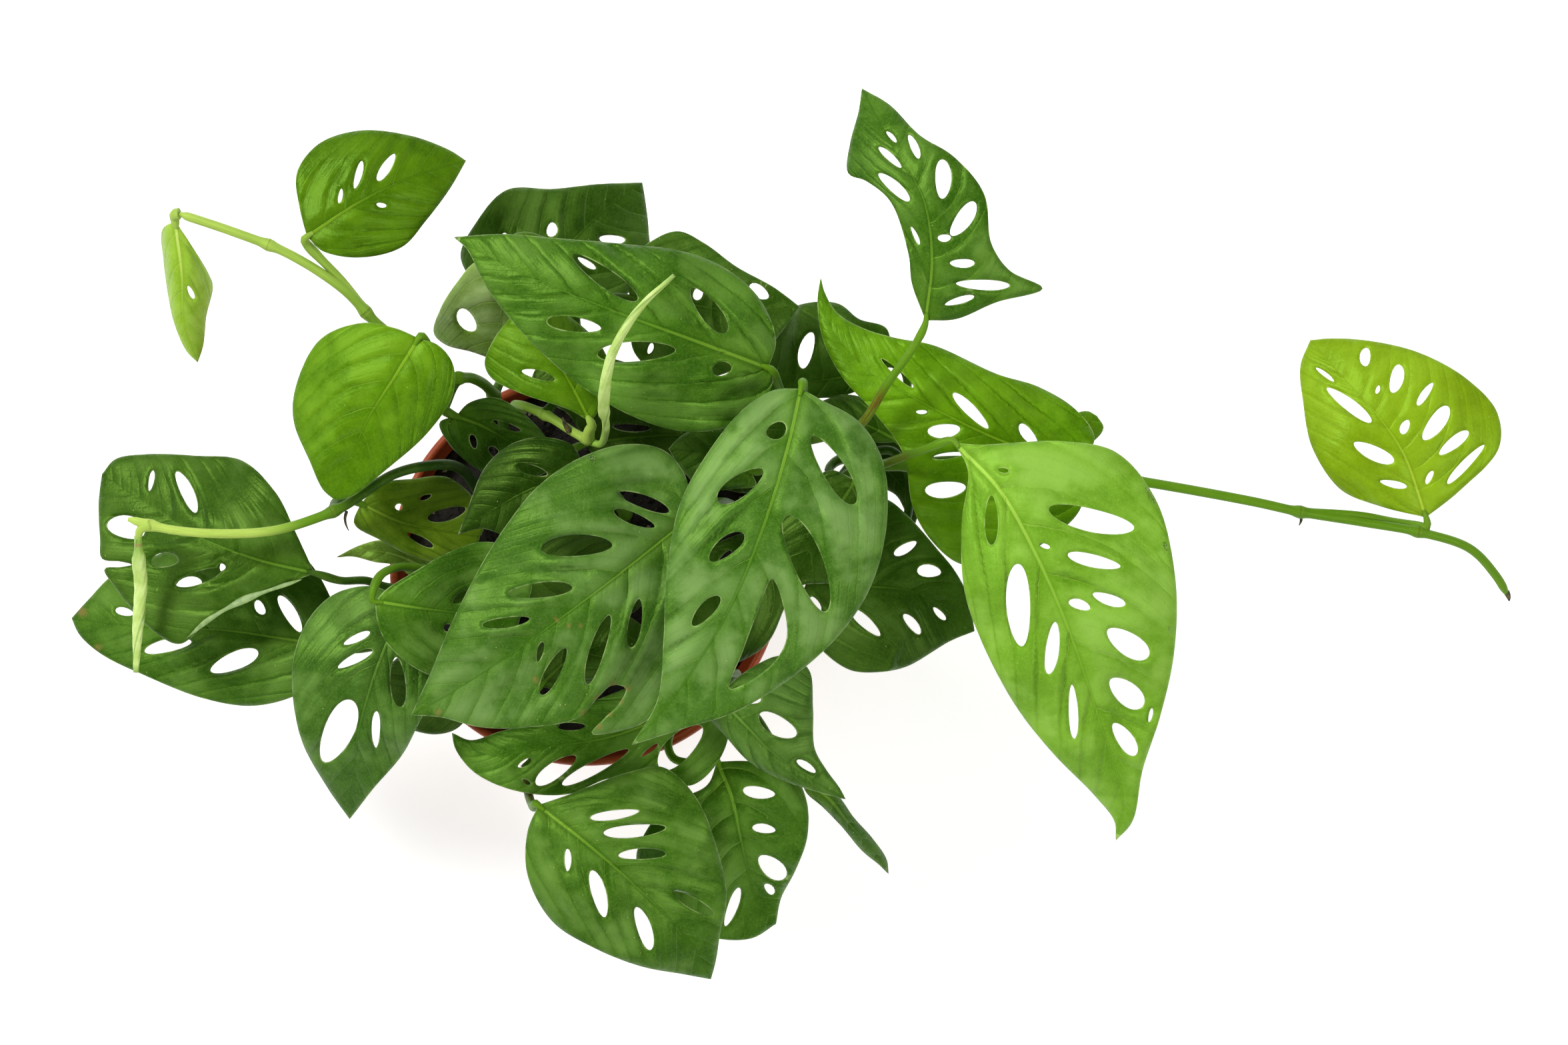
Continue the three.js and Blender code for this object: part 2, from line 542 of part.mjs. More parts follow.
    two: [[4.4, 48.3], [8, 56], [6, 66], [-4, 76], [-13, 80]],
    lift: [-3, -4],
    holes: [[-13.8, 58.7, 10.5, 2.8, -15]],
  },
  back_low_leaf: {
    rib: [[-18, 80, 128], [-8, 95, 127], [4, 108, 119], [17, 118, 108]],
    one: [[-30, 84], [-38, 95], [-33, 106], [-24, 115.5], [-10, 115.8], [4, 117.4]],
    two: [[-4, 76], [10, 82], [19, 92], [19, 103], [18, 112]],
    lift: [-4, -5],
    holes: [[-24.7, 101, 3, 2, 90], [-10.4, 103.4, 4.6, 3.4, 80], [8, 100.6, 8, 3, -3],
      [0.3, 93.2, 6.5, 2, -32]],
  },
  back_left_leaf: {
    rib: [[-24, 95, 158], [-25, 84, 153], [-25.5, 74, 143], [-27, 63.5, 132]],
    one: [[-33, 93], [-38.5, 87], [-43.5, 79.5], [-46, 72], [-42.5, 68.4], [-34.5, 66.2]],
    two: [[-14, 92], [-9, 82], [-10, 72], [-18, 65]],
    lift: [-5, -3],
    holes: [[-35.7, 75.7, 8, 5, -55]],
  },
  left_bright_leaf: {
    rib: [[-49.7, 69.7, 176], [-57, 58, 176], [-65.4, 44.7, 172], [-75, 21, 164]],
    one: [[-56, 72.5], [-66.7, 74.4], [-79.6, 69.4], [-87, 55], [-87.6, 45], [-82.7, 32.8],
      [-78.7, 24.2]],
    two: [[-43.8, 67.6], [-39.5, 62], [-39.5, 53], [-47, 41.6], [-60, 30], [-70, 22.3]],
    lift: [-8, -5],
  },
  north_west_leaf: {
    rib: [[-83.6, 100.6, 163], [-66.6, 111.7, 164], [-51.8, 118.8, 158], [-36, 123.8, 149]],
    one: [[-86, 110], [-86.7, 120], [-80.2, 128.7], [-68.4, 132.6], [-53, 131.3], [-41, 127]],
    two: [[-78.9, 96.3], [-67.8, 94.4], [-55, 97.7], [-48, 105.5], [-41, 115]],
    lift: [-5, -5],
    holes: [[-73.6, 112.9, 4.6, 1.5, 80], [-68.2, 119.3, 8.8, 2.2, 75],
      [-59.8, 121.6, 9.8, 3, 58], [-61.2, 110.2, 3.2, 1.6, -10]],
  },
  far_west_leaf: {
    rib: [[-123.7, 105.4, 156], [-121.8, 89, 152], [-121.6, 75, 144], [-117.7, 63, 134]],
    one: [[-127.7, 103], [-127.5, 94], [-126.3, 84], [-124.5, 75], [-121, 66.5]],
    two: [[-119.5, 99], [-114, 89.5], [-112.9, 86], [-115, 76.7], [-116, 68]],
    lift: [-8, -9],
    holes: [[-119.2, 84, 4.4, 1.6, -65]],
    grain: 8,
  },
  west_upper_leaf: {
    rib: [[-82, -1, 146], [-99, 3, 147], [-115, 9, 143], [-133, 20, 134], [-147, 29, 126]],
    one: [[-88, 12], [-93.5, 23], [-104, 33], [-118, 34.5], [-133, 35], [-143, 33.5]],
    two: [[-92, -5], [-104, -10], [-114.5, -16], [-123, -22.5], [-131, -18.5], [-143, -5],
      [-147, 9], [-148, 20]],
    lift: [-4, -5],
    holes: [[-121, 23.5, 14, 4, -64], [-139.5, 12.5, 12, 7, -12], [-127.5, 2.7, 8.5, 4.5, 5],
      [-117, -2.2, 15, 4, 18], [-110, 0.8, 2.6, 2.4, 0], [-131.8, 27, 6.5, 1.8, 80]],
  },
  west_lower_leaf: {
    rib: [[-74, -24, 126], [-87.5, -21.7, 127], [-110, -18.5, 121], [-136, -17.5, 109],
      [-157.5, -15, 97]],
    one: [[-77.7, -8.5], [-86, 4], [-100, 10], [-118, 9], [-134, 3], [-145, -2], [-152, -9]],
    two: [[-80, -33], [-89, -38.6], [-102, -41.5], [-117.5, -39], [-135.5, -32], [-148, -26],
      [-155, -20]],
    lift: [-4, -5],
    holes: [[-141, -13, 6, 2.6, -12], [-99, -11.5, 5, 3, -60], [-90, -13.5, 13, 4, -58],
      [-127.5, -23.5, 15, 4, 12], [-107, -28, 16, 5.5, 22], [-121, -4.8, 8.5, 4.6, 15],
      [-109.6, 0.6, 4, 3.6, 0]],
  },
  south_west_leaf: {
    rib: [[-55, -11, 148], [-63.3, -31, 149], [-68.7, -49, 142], [-70, -58, 134], [-72, -76, 117]],
    one: [[-63, -5.3], [-75, -7], [-83, -14], [-87.7, -24.6], [-88.7, -36], [-85.8, -52.3],
      [-78.7, -66]],
    two: [[-46, -18], [-43, -28], [-45, -38], [-49, -44], [-55.5, -56], [-64.5, -66.5]],
    lift: [-5, -4],
    holes: [[-69, -20.7, 9, 2.5, 25], [-69.5, -27, 12, 3, 27], [-75, -49, 21, 9, 65],
      [-63.3, -48.5, 11.4, 2.7, 88], [-56.5, -34, 15.3, 4.7, -85]],
  },
  west_inner_leaf: {
    rib: [[-63, -9.5, 163], [-48.5, -11.7, 162], [-34, -13.5, 158], [-20, -16, 154]],
    one: [[-60, -6.2], [-51, -0.5], [-41.4, 5], [-30.4, 8.4], [-22, 6], [-16, -4]],
    two: [[-62.5, -15], [-60, -21.4], [-52.3, -28.8], [-42, -33], [-30, -30], [-21, -23]],
    lift: [-3, -4],
    holes: [[-37, -8, 7, 3, 38], [-41, -17.5, 3, 2.5, 0]],
  },
  mid_left_leaf: {
    rib: [[0, 27, 160], [-14, 25, 160], [-26, 19, 157], [-38.3, 10.7, 152]],
    one: [[-3, 37], [-12, 40], [-22, 38], [-30, 31], [-34, 22], [-36.5, 15]],
    two: [[-2, 16], [-10, 10], [-20, 9], [-31, 12.5]],
    lift: [-3, -3],
    holes: [[-15.5, 30, 9, 3, -15]],
  },
  pot_west_leaf: {
    rib: [[-39, 46.5, 146], [-30, 43, 148], [-20, 37, 146], [-10, 30, 142]],
    one: [[-35, 50.5], [-27, 52], [-19, 47.5], [-12, 40]],
    two: [[-44, 44.5], [-41, 38], [-36, 33], [-30.5, 29.5], [-20, 27]],
    lift: [-2, -3],
    holes: [[-33.8, 38.8, 4.5, 2.2, -75], [-27.5, 35.5, 4.5, 2.6, -50],
      [-23.5, 43.6, 9, 2, -20]],
  },
  inner_olive_leaf: {
    rib: [[-68, 20, 140], [-56, 14.5, 142], [-45, 12, 140], [-32, 10, 136]],
    one: [[-62, 26], [-52, 27.5], [-42, 28], [-34, 22], [-30, 15]],
    two: [[-70, 14], [-62, 9], [-52, 4], [-42, 2], [-34, 4]],
    lift: [-3, -3],
    holes: [[-56.5, 19, 2.4, 2.2, 0], [-48.5, 22, 4, 1.6, 20], [-42, 17, 12, 4, 15],
      [-50, 9, 9, 2.4, -28]],
  },
  inner_pale_leaf: {
    rib: [[-48, 0, 121], [-58, 4.5, 123], [-67, 5.6, 122], [-76, 3.7, 119]],
    one: [[-48, 5.5], [-55, 8.6], [-62, 9], [-69, 7.2]],
    two: [[-51, -3], [-58, 1.4], [-64, 2.3], [-71, 4]],
    lift: [2, 1],
    grain: 8,
  },
};

// ---- the vines ------------------------------------------------------------------------
// Each vine is a list of strands; every strand but the first starts on an earlier one.
// A strand that ends in a blade's name runs up to that blade's base.
const vines = {
  vine_north: [
    [[-12, 38, stemFoot], [-17, 43, 112], [-21, 50, 140], [-12, 47, 151], [-3, 41.4, 157],
      [1, 39.2, 160]],
    [[1, 39.2, 160], [1.6, 42, 163], 'inner_bright_leaf'],
    [[-12, 47, 151], [-3, 60, 148], [-4, 84, 150], [-9, 97, 156], [-18, 101, 159],
      [-23, 99, 159], 'back_left_leaf'],
    [[-4, 84, 150], [5, 82.6, 156], [10, 82.1, 159], 'north_mid_leaf'],
  ],
  vine_northwest: [
    [[-22, 30, stemFoot], [-23.5, 37, 111], [-28, 53, 124], [-34, 58, 136], [-42, 58.5, 146],
      [-52, 66, 152], [-63, 74.7, 155], [-72.7, 84.7, 157], [-89.2, 95.4, 158],
      [-105.7, 102, 158], [-122.4, 107.6, 158]],
    [[-66, 78, 155.6], [-73.5, 87.5, 156], [-80.3, 94.6, 157.5], [-83.8, 98.4, 160],
      'north_west_leaf'],
    [[-122.4, 107.6, 158], [-123.7, 107.4, 157.4], 'far_west_leaf'],
    [[-42, 58.5, 146], [-41.4, 63, 156], [-43.6, 68.4, 167.5], 'left_bright_leaf'],
    [[-38.6, 58.2, 142], [-41.5, 52, 144], [-42.5, 48.5, 145.5], 'pot_west_leaf'],
    [[-28, 53, 124], [-22, 66, 119], [-19.5, 75, 125], 'back_low_leaf'],
  ],
  vine_centre: [
    [[30, 5, stemFoot], [34, 8, 110], [46, 16, 125], [56, 26, 140], [61, 38, 152],
      [63, 47, 163]],
    [[63, 47, 163], [60.5, 51.5, 172], [58, 57, 181.5], 'back_centre_leaf'],
    [[63, 47, 163], [66.2, 53, 178], [66.8, 57.4, 193], [66.2, 57.2, 200.5], 'front_centre_leaf'],
    [[61, 38, 152], [72, 40, 163], [83, 43.6, 172], [91, 55.5, 179], [100, 68.3, 183],
      'north_east_leaf'],
    [[46, 16, 125], [44, 20, 150], [38.6, 20, 172], [34.4, 17, 177.6], 'front_left_leaf'],
    [[56, 26, 140], [57, 30.5, 152], [53.5, 30.2, 158.5], 'centre_low_leaf'],
  ],
  vine_east: [
    [[42, -8, stemFoot], [47, -3, 112], [62, 12, 128], [76, 26, 141], [84, 31, 148],
      [95, 31.5, 149], [112, 33, 148], [140, 31, 146], [169.4, 26.6, 146], [202.6, 20.6, 142],
      [216.8, 17.5, 138], [236, 14.4, 132], [254.7, 11.1, 126], [269, 6.4, 120],
      [277.3, -1.9, 113], [281.3, -8.3, 108]],
    [[84, 31, 148], [89, 31.6, 160], [95, 33.6, 173], [104, 36.8, 184], 'right_big_leaf'],
    [[216.8, 17.5, 138], [236, 16.2, 131], [250, 13.6, 125], [255.6, 13, 126],
      'far_east_leaf'],
    [[165, 27.3, 146.1], [162, 30, 153], [154, 31.6, 159], 'right_back_leaf'],
    [[134, 31.4, 146.6], [138.5, 33.5, 150], 'small_east_leaf'],
    [[76, 26, 141], [85, 34.5, 141], [93, 36, 140], [97.6, 30, 140], [98.4, 21, 139],
      [95.5, 10, 138], [86, 2, 139], [75, -0.4, 139.5], [67.5, -2, 142], [65.6, -2.9, 146.5],
      'south_east_leaf'],
    [[76, 26, 141], [88, 42, 138], [97, 52, 137], [97, 60, 138.6], 'north_east_dark_leaf'],
    [[98, 31.6, 148.9], [100.6, 34.6, 149], 'dark_east_leaf'],
    [[84, 31, 148], [88, 31, 156], [86, 30.4, 161], 'centre_east_leaf'],
    [[62, 12, 128], [67, 13.4, 138], [65.6, 11.4, 144.6], 'centre_dark_leaf'],
    [[76, 26, 141], [74, 30.5, 136], [77.5, 33.5, 132.4], 'east_gap_leaf'],
  ],
  vine_west: [
    [[-28, 14, stemFoot], [-30, 18, 112], [-38.5, 31, 138], [-48, 31.4, 149],
      [-58.3, 28.6, 153], [-72.7, 19.3, 153], [-82, 15.3, 153], [-93.8, 11.9, 155],
      [-108.2, 10.9, 158], [-124.7, 12.1, 160], [-137.8, 15.3, 160]],
    [[-76, 17.8, 153], [-75.4, 20.6, 146], [-71.5, 21.6, 141], 'inner_olive_leaf'],
    [[-131, 13.6, 160.2], [-134, 12.2, 160], [-134.8, 9.6, 158.6]],
  ],
  vine_southwest: [
    [[-26, -8, stemFoot], [-29, -8, 110], [-34, -6.5, 122]],
    [[-34, -6.5, 122], [-46, -6, 131], [-60, -5.3, 138], [-66.5, -3.3, 142], [-74, -3.3, 143.6],
      'west_upper_leaf'],
    [[-34, -6.5, 122], [-38, -4, 138], [-47, 0, 151], [-56, 0.8, 156], [-61.5, -1.6, 160],
      [-63.8, -6.6, 162.4], 'west_inner_leaf'],
    [[-34, -6.5, 122], [-44, -9, 136], [-51.6, -8, 146], 'south_west_leaf'],
    [[-34, -6.5, 122], [-48, -16, 125], [-62, -23, 126], 'west_lower_leaf'],
    [[-34, -6.5, 122], [-41, -2.6, 120.6], 'inner_pale_leaf'],
    [[-29, -8, 110], [-25.4, -5.4, 115], 'low_centre_leaf'],
    [[-29, -8, 110], [-27.5, -19, 112.5], [-27.6, -27, 114.6], 'south_west_low_leaf'],
  ],
  vine_south: [
    [[-2, -26, stemFoot], [-4, -34, 112], [-8, -44, 119], [-14, -55, 120], [-18.4, -61, 120]],
    [[-18.4, -61, 120], [-17.6, -67.4, 121], [-16.5, -70.9, 128.4], [-15.4, -71.9, 135.5],
      'bottom_big_leaf'],
    [[-8, -44, 119], [-13.6, -42.6, 120.6], [-16.6, -39, 121.4], 'south_low_leaf'],
  ],
  vine_southeast: [
    [[22, -20, stemFoot], [26, -26, 112], [36, -33, 124]],
    [[36, -33, 124], [42.6, -34.4, 129], 'bottom_long_leaf'],
    [[42.6, -34.4, 129], [46, -31.6, 140], [42, -32, 152], [37.6, -35.4, 155.4],
      'south_fold_leaf'],
    [[36, -33, 124], [30.5, -42, 121.5], [25, -52, 120.5], [26.6, -57.4, 121.5],
      [33, -58.8, 123.4], 'bottom_right_leaf'],
    [[42.6, -34.4, 129], [52, -45, 133.5], [58.5, -55.5, 135], [62, -60.6, 134.8],
      'south_tail_leaf'],
  ],
  vine_inner: [
    [[12, 15, stemFoot], [12, 17, 118], [10, 22, 150], [5, 27, 158.6], 'mid_left_leaf'],
    [[12, 17, 118], [5, 24, 124], [-2.6, 31, 128], [-4, 36, 130.8], 'north_low_leaf'],
  ],
};

// New leaves are still rolled: a tapering spear from a vine's last node.
const rolledLeaves = {
  north_rolled_leaf: {
    path: [[4.2, 37.4, 161], [6.6, 42, 171], [6.3, 48.6, 190], [6.6, 55, 200],
      [9.2, 65.7, 206], [17.5, 78.7, 210], [27.5, 88.2, 211]],
    radius: 2,
  },
  west_rolled_leaf: {
    path: [[-134.8, 8.8, 158.2], [-134.7, 3, 154], [-134.2, -5, 150], [-135.4, -17.4, 147],
      [-136, -31.1, 144]],
    radius: 2.2,
  },
};

// The last points of a strand that carries a blade, ending just short of its base.
function bladeEnd(name) {
  const [base, next] = space(blades[name].rib);
  const back = base.clone().sub(next).normalize();
  return [...base.addScaledVector(back, 2.6 * seat)];
}

// The first strand of a vine stands upright in its hole in the soil.
function rooted([foot, ...rest]) {
  const [x, y] = foot;
  return [foot, [x, y, soilTop - 6], [x, y, soilTop + 5], ...rest];
}

function strand(points, index) {
  const last = points[points.length - 1];
  const path = typeof last === 'string' ? [...points.slice(0, -1), bladeEnd(last)] : points;
  if (index === 0) return rod(rooted(path), (share) => stemRadius * (1 - 0.25 * share), 15, 6);
  return rod(path, (share) => petioleRadius * (1 - 0.1 * share - 0.45 * share ** 8), 11);
}

// A small swelling where a strand leaves the vine.
function node([x, y, z]) {
  const knot = new THREE.SphereGeometry(nodeRadius, 5, 3);
  knot.translate(x, y, z);
  return knot;
}

const vineGeometry = (strands) => fuse([
  ...strands.map(strand),
  ...strands.slice(1).map((points) => node(points[0])),
]);

function rolledGeometry({ path, radius }) {
  return rod(path, (share) => radius * (0.75 + 0.5 * share - 0.95 * share * share), 6);
}

// ---- pot and soil ---------------------------------------------------------------------
const turned = (profile, sides) => new THREE.LatheGeometry(plan(profile), sides)
  .rotateX(Math.PI / 2);

function potGeometry() {
  const innerFoot = footRadius - wall;
  const innerShoulder = shoulderRadius - wall;
  const shoulder = potHeight - rimBandHeight;
  const shell = turned([
    [0, 0], [footRadius, 0], [shoulderRadius, shoulder], [rimRadius, shoulder],
    [rimRadius, potHeight - 1], [rimRadius - 1, potHeight], [rimRadius - wall - 1, potHeight],
    [innerShoulder, shoulder], [innerFoot, floorThickness], [0, floorThickness],
  ], 36);
  const drains = [];
  for (let k = 0; k < 6; k += 1) {
    const drain = new THREE.CylinderGeometry(3.2, 3.2, floorThickness * 4, 6);
    drain.rotateX(Math.PI / 2);
    drain.translate(footRadius * 0.68, 0, floorThickness / 2);
    drain.rotateZ((k * Math.PI) / 3);
    drains.push(drain);
  }
  return cut(shell, drains);
}

function soilGeometry() {
  const share = (soilTop - floorThickness) / (potHeight - rimBandHeight - floorThickness);
  const innerTop = footRadius + (shoulderRadius - footRadius) * Math.min(1, share) - wall;
  const bottom = floorThickness + seat;
  const sides = 20;
  const rings = [0.4, 0.78].map((part) => [innerTop * part, soilTop]);
  const lump = turned([
    [0, bottom], [footRadius - wall - 2 * seat, bottom], [innerTop - 2 * seat, soilTop - 2],
    ...rings.reverse(), [0, soilTop],
  ], sides);
  const spots = lump.attributes.position;
  for (let i = 0; i < spots.count; i += 1) {
    const [x, y, z] = [spots.getX(i), spots.getY(i), spots.getZ(i)];
    const swell = Math.sin(x * 0.31 + 0.8) * Math.cos(y * 0.27) + 0.6 * Math.sin((x - y) * 0.53);
    if (z > soilTop - 1) spots.setZ(i, z + swell);
  }
  const holes = Object.values(vines).map(([[[x, y]]]) => {
    const hole = new THREE.CylinderGeometry(stemRadius + 2 * seat, stemRadius + 2 * seat, 40, 8);
    hole.rotateX(Math.PI / 2);
    hole.translate(x, y, stemFoot - seat + 20);
    return hole;
  });
  return cut(lump, holes);
}

// ---- materials and assembly -----------------------------------------------------------
function finish(color, roughness) {
  return new THREE.MeshStandardMaterial({ color, roughness, metalness: 0 });
}

const materials = {
  leaf_green: finish(0x3f7d24, 0.42),
  leaf_bright: finish(0x6fa82c, 0.45),
  leaf_dark: finish(0x2c5a1c, 0.4),
  stem_green: finish(0x4f8428, 0.5),
  pot_plastic: finish(0xa8431c, 0.55),
  soil_peat: finish(0x2b1d14, 0.95),
};
const bright = ['right_big_leaf', 'right_back_leaf', 'far_east_leaf', 'left_bright_leaf',
  'north_west_leaf', 'far_west_leaf', 'inner_bright_leaf', 'small_east_leaf',
  'inner_olive_leaf', 'back_left_leaf'];
const dark = ['back_low_leaf', 'north_mid_leaf', 'north_east_dark_leaf', 'dark_east_leaf',
  'centre_dark_leaf', 'south_east_leaf', 'mid_left_leaf', 'west_upper_leaf', 'north_low_leaf',
  'low_centre_leaf', 'south_low_leaf', 'south_west_low_leaf', 'east_gap_leaf'];

const plant = new THREE.Group();
plant.name = 'monstera_adansonii';

function place(name, geometry, material) {
  const mesh = new THREE.Mesh(geometry, material);
  mesh.name = name;
  plant.add(mesh);
}

place('pot', potGeometry(), materials.pot_plastic);
place('soil', soilGeometry(), materials.soil_peat);
for (const [name, strands] of Object.entries(vines)) {
  place(name, vineGeometry(strands), materials.stem_green);
}
for (const [name, spear] of Object.entries(rolledLeaves)) {
  place(name, rolledGeometry(spear), materials.leaf_bright);
}
function toneOf(name) {
  if (bright.includes(name)) return 'leaf_bright';
  if (dark.includes(name)) return 'leaf_dark';
  return 'leaf_green';
}
for (const [name, data] of Object.entries(blades)) {
  place(name, bladeGeometry(data), materials[toneOf(name)]);
}

export default plant;
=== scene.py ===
import math

import bpy
import numpy as np
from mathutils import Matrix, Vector
from mathutils.geometry import delaunay_2d_cdt


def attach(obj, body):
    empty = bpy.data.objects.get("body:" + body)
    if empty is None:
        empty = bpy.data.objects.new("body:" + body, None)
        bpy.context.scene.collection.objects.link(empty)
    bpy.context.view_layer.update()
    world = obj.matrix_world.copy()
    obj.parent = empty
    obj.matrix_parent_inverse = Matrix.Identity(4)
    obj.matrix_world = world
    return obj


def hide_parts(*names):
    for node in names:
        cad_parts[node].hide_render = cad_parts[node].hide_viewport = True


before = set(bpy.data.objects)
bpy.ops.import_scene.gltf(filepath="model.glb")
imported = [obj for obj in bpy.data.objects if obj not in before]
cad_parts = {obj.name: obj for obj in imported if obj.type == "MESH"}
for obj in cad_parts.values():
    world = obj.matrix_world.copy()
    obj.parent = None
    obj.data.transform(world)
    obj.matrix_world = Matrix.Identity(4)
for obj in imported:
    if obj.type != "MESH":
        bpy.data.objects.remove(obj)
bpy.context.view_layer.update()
mm = 0.001
scene = bpy.context.scene
print("frame loaded,", len(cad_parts), "nodes")

# The camera looks straight down. Everything below is measured in millimetres and made in metres.
camera = {"over": (60.3, 14.3), "height": 5150, "lens": 379.4, "sensor": 36.0, "clip": (0.05, 60)}


def placed(name, data):  # a new object in the scene
    thing = bpy.data.objects.new(name, data)
    scene.collection.objects.link(thing)
    return thing


def makeCamera():
    data = bpy.data.cameras.new("plantCamera")
    data.lens, data.sensor_width = camera["lens"], camera["sensor"]
    data.clip_start, data.clip_end = camera["clip"]
    scene.camera = placed("plantCamera", data)
    scene.camera.location = [v * mm for v in (*camera["over"], camera["height"])]


makeCamera()


def splineAt(points, t):  # spline through the points, t runs from 0 to 1 over them
    knots = np.array(points, float)
    ends = np.vstack([2 * knots[0] - knots[1], knots, 2 * knots[-1] - knots[-2]])
    place = np.clip(t, 0, 1) * (len(knots) - 1)
    i = np.minimum(place.astype(int), len(knots) - 2)
    w = (place - i)[:, None]
    a, b, c, d = (ends[i + k] for k in range(4))
    ga, gb, gc = (np.sqrt(np.linalg.norm(v - u, axis=1))[:, None] for u, v in ((a, b), (b, c), (c, d)))
    out = ((b - a) / ga - (c - a) / (ga + gb) + (c - b) / gb) * gb
    into = ((c - b) / gb - (d - b) / (gb + gc) + (d - c) / gc) * gb
    return b + out * w + (3 * (c - b) - 2 * out - into) * w**2 + (2 * (b - c) + out + into) * w**3


def lengthOf(line):
    return float(np.linalg.norm(np.diff(line, axis=0), axis=1).sum())


def smoothLine(points, spacing):  # evenly spaced places along that spline
    fine = splineAt(points, np.linspace(0, 1, 60 * len(points)))
    run = np.concatenate([[0], np.cumsum(np.linalg.norm(np.diff(fine, axis=0), axis=1))])
    want = np.linspace(0, run[-1], max(6, round(run[-1] / spacing)) + 1)
    return np.stack([np.interp(want, run, fine[:, k]) for k in range(fine.shape[1])], 1)


def headings(line):  # unit vectors along a line
    ahead = np.gradient(line, axis=0)
    return ahead / np.linalg.norm(ahead, axis=1)[:, None]


def step(value, low, high):  # 0 below low, 1 above high, smooth between
    t = np.clip((value - low) / (high - low), 0, 1)
    return t * t * (3 - 2 * t)


def waves(x, y, size, seed):  # seven crossing sine swells of about that size, mostly within -1 and 1
    dice = np.random.default_rng(seed)
    total = 0
    for k in range(7):
        turn, shift, wide = dice.uniform(0, 6.28), dice.uniform(0, 6.28), size * dice.uniform(0.7, 1.5)
        total = total + np.sin((x * math.cos(turn) + y * math.sin(turn)) * 6.283 / wide + shift)
    return total / 2.65


def turnedBy(degrees, x, y, ahead, aside):  # a place that far ahead and aside of x, y when turned
    turn = math.radians(degrees)
    return (x + ahead * math.cos(turn) - aside * math.sin(turn),
            y + ahead * math.sin(turn) + aside * math.cos(turn))


def insideLoop(spots, loop):
    x, y = spots[:, 0][:, None], spots[:, 1][:, None]
    ax, ay = loop[:, 0][None], loop[:, 1][None]
    bx, by = np.roll(ax, -1, 1), np.roll(ay, -1, 1)
    with np.errstate(divide="ignore", invalid="ignore"):
        cross = ((ay > y) != (by > y)) & (x < ax + (bx - ax) * (y - ay) / (by - ay))
    return cross.sum(1) % 2 == 1


def footOn(line, spots):  # nearest place on a line in plan: distance, side, height, run in steps
    a, edge = line[:-1, :2], np.diff(line[:, :2], axis=0)
    rel = spots[:, None, :] - a[None]
    share = np.clip((rel * edge).sum(2) / (edge**2).sum(1), 0, 1)
    off = rel - share[..., None] * edge
    far = np.hypot(off[..., 0], off[..., 1])
    k = far.argmin(1)
    n = np.arange(len(spots))
    share, far, rel = share[n, k], far[n, k], rel[n, k]
    side = np.where(edge[k, 0] * rel[:, 1] - edge[k, 1] * rel[:, 0] < 0, -1.0, 1.0)
    height = line[k, 2] + share * (line[k + 1, 2] - line[k, 2]) if line.shape[1] > 2 else 0 * far
    return far, side, height, k + share


def distanceTo(loop, spots):
    return footOn(np.vstack([loop, loop[:1]]), spots)[0]


def tubeFaces(rows, sides, start, low, high, flip=False):  # rings of points between two pole points
    turn = [(j, (j + 1) % sides) for j in range(sides)]
    last = start + (rows - 1) * sides
    skin = [(low, start + b, start + a) for a, b in turn]
    for ring in range(start, last, sides):
        skin += [(ring + a, ring + b, ring + sides + b, ring + sides + a) for a, b in turn]
    skin += [(high, last + a, last + b) for a, b in turn]
    return [(f[0], f[2], f[1]) if len(f) == 3 else f[::-1] for f in skin] if flip else skin


def paint(red, green, blue):  # a colour as picked on a screen, 0 to 255
    parts = [v / 255 for v in (red, green, blue)]
    return tuple(v / 12.92 if v < 0.04045 else ((v + 0.055) / 1.055) ** 2.4 for v in parts) + (1.0,)


def lit(colour, light):
    return tuple(v * light for v in colour[:3]) + (1.0,)


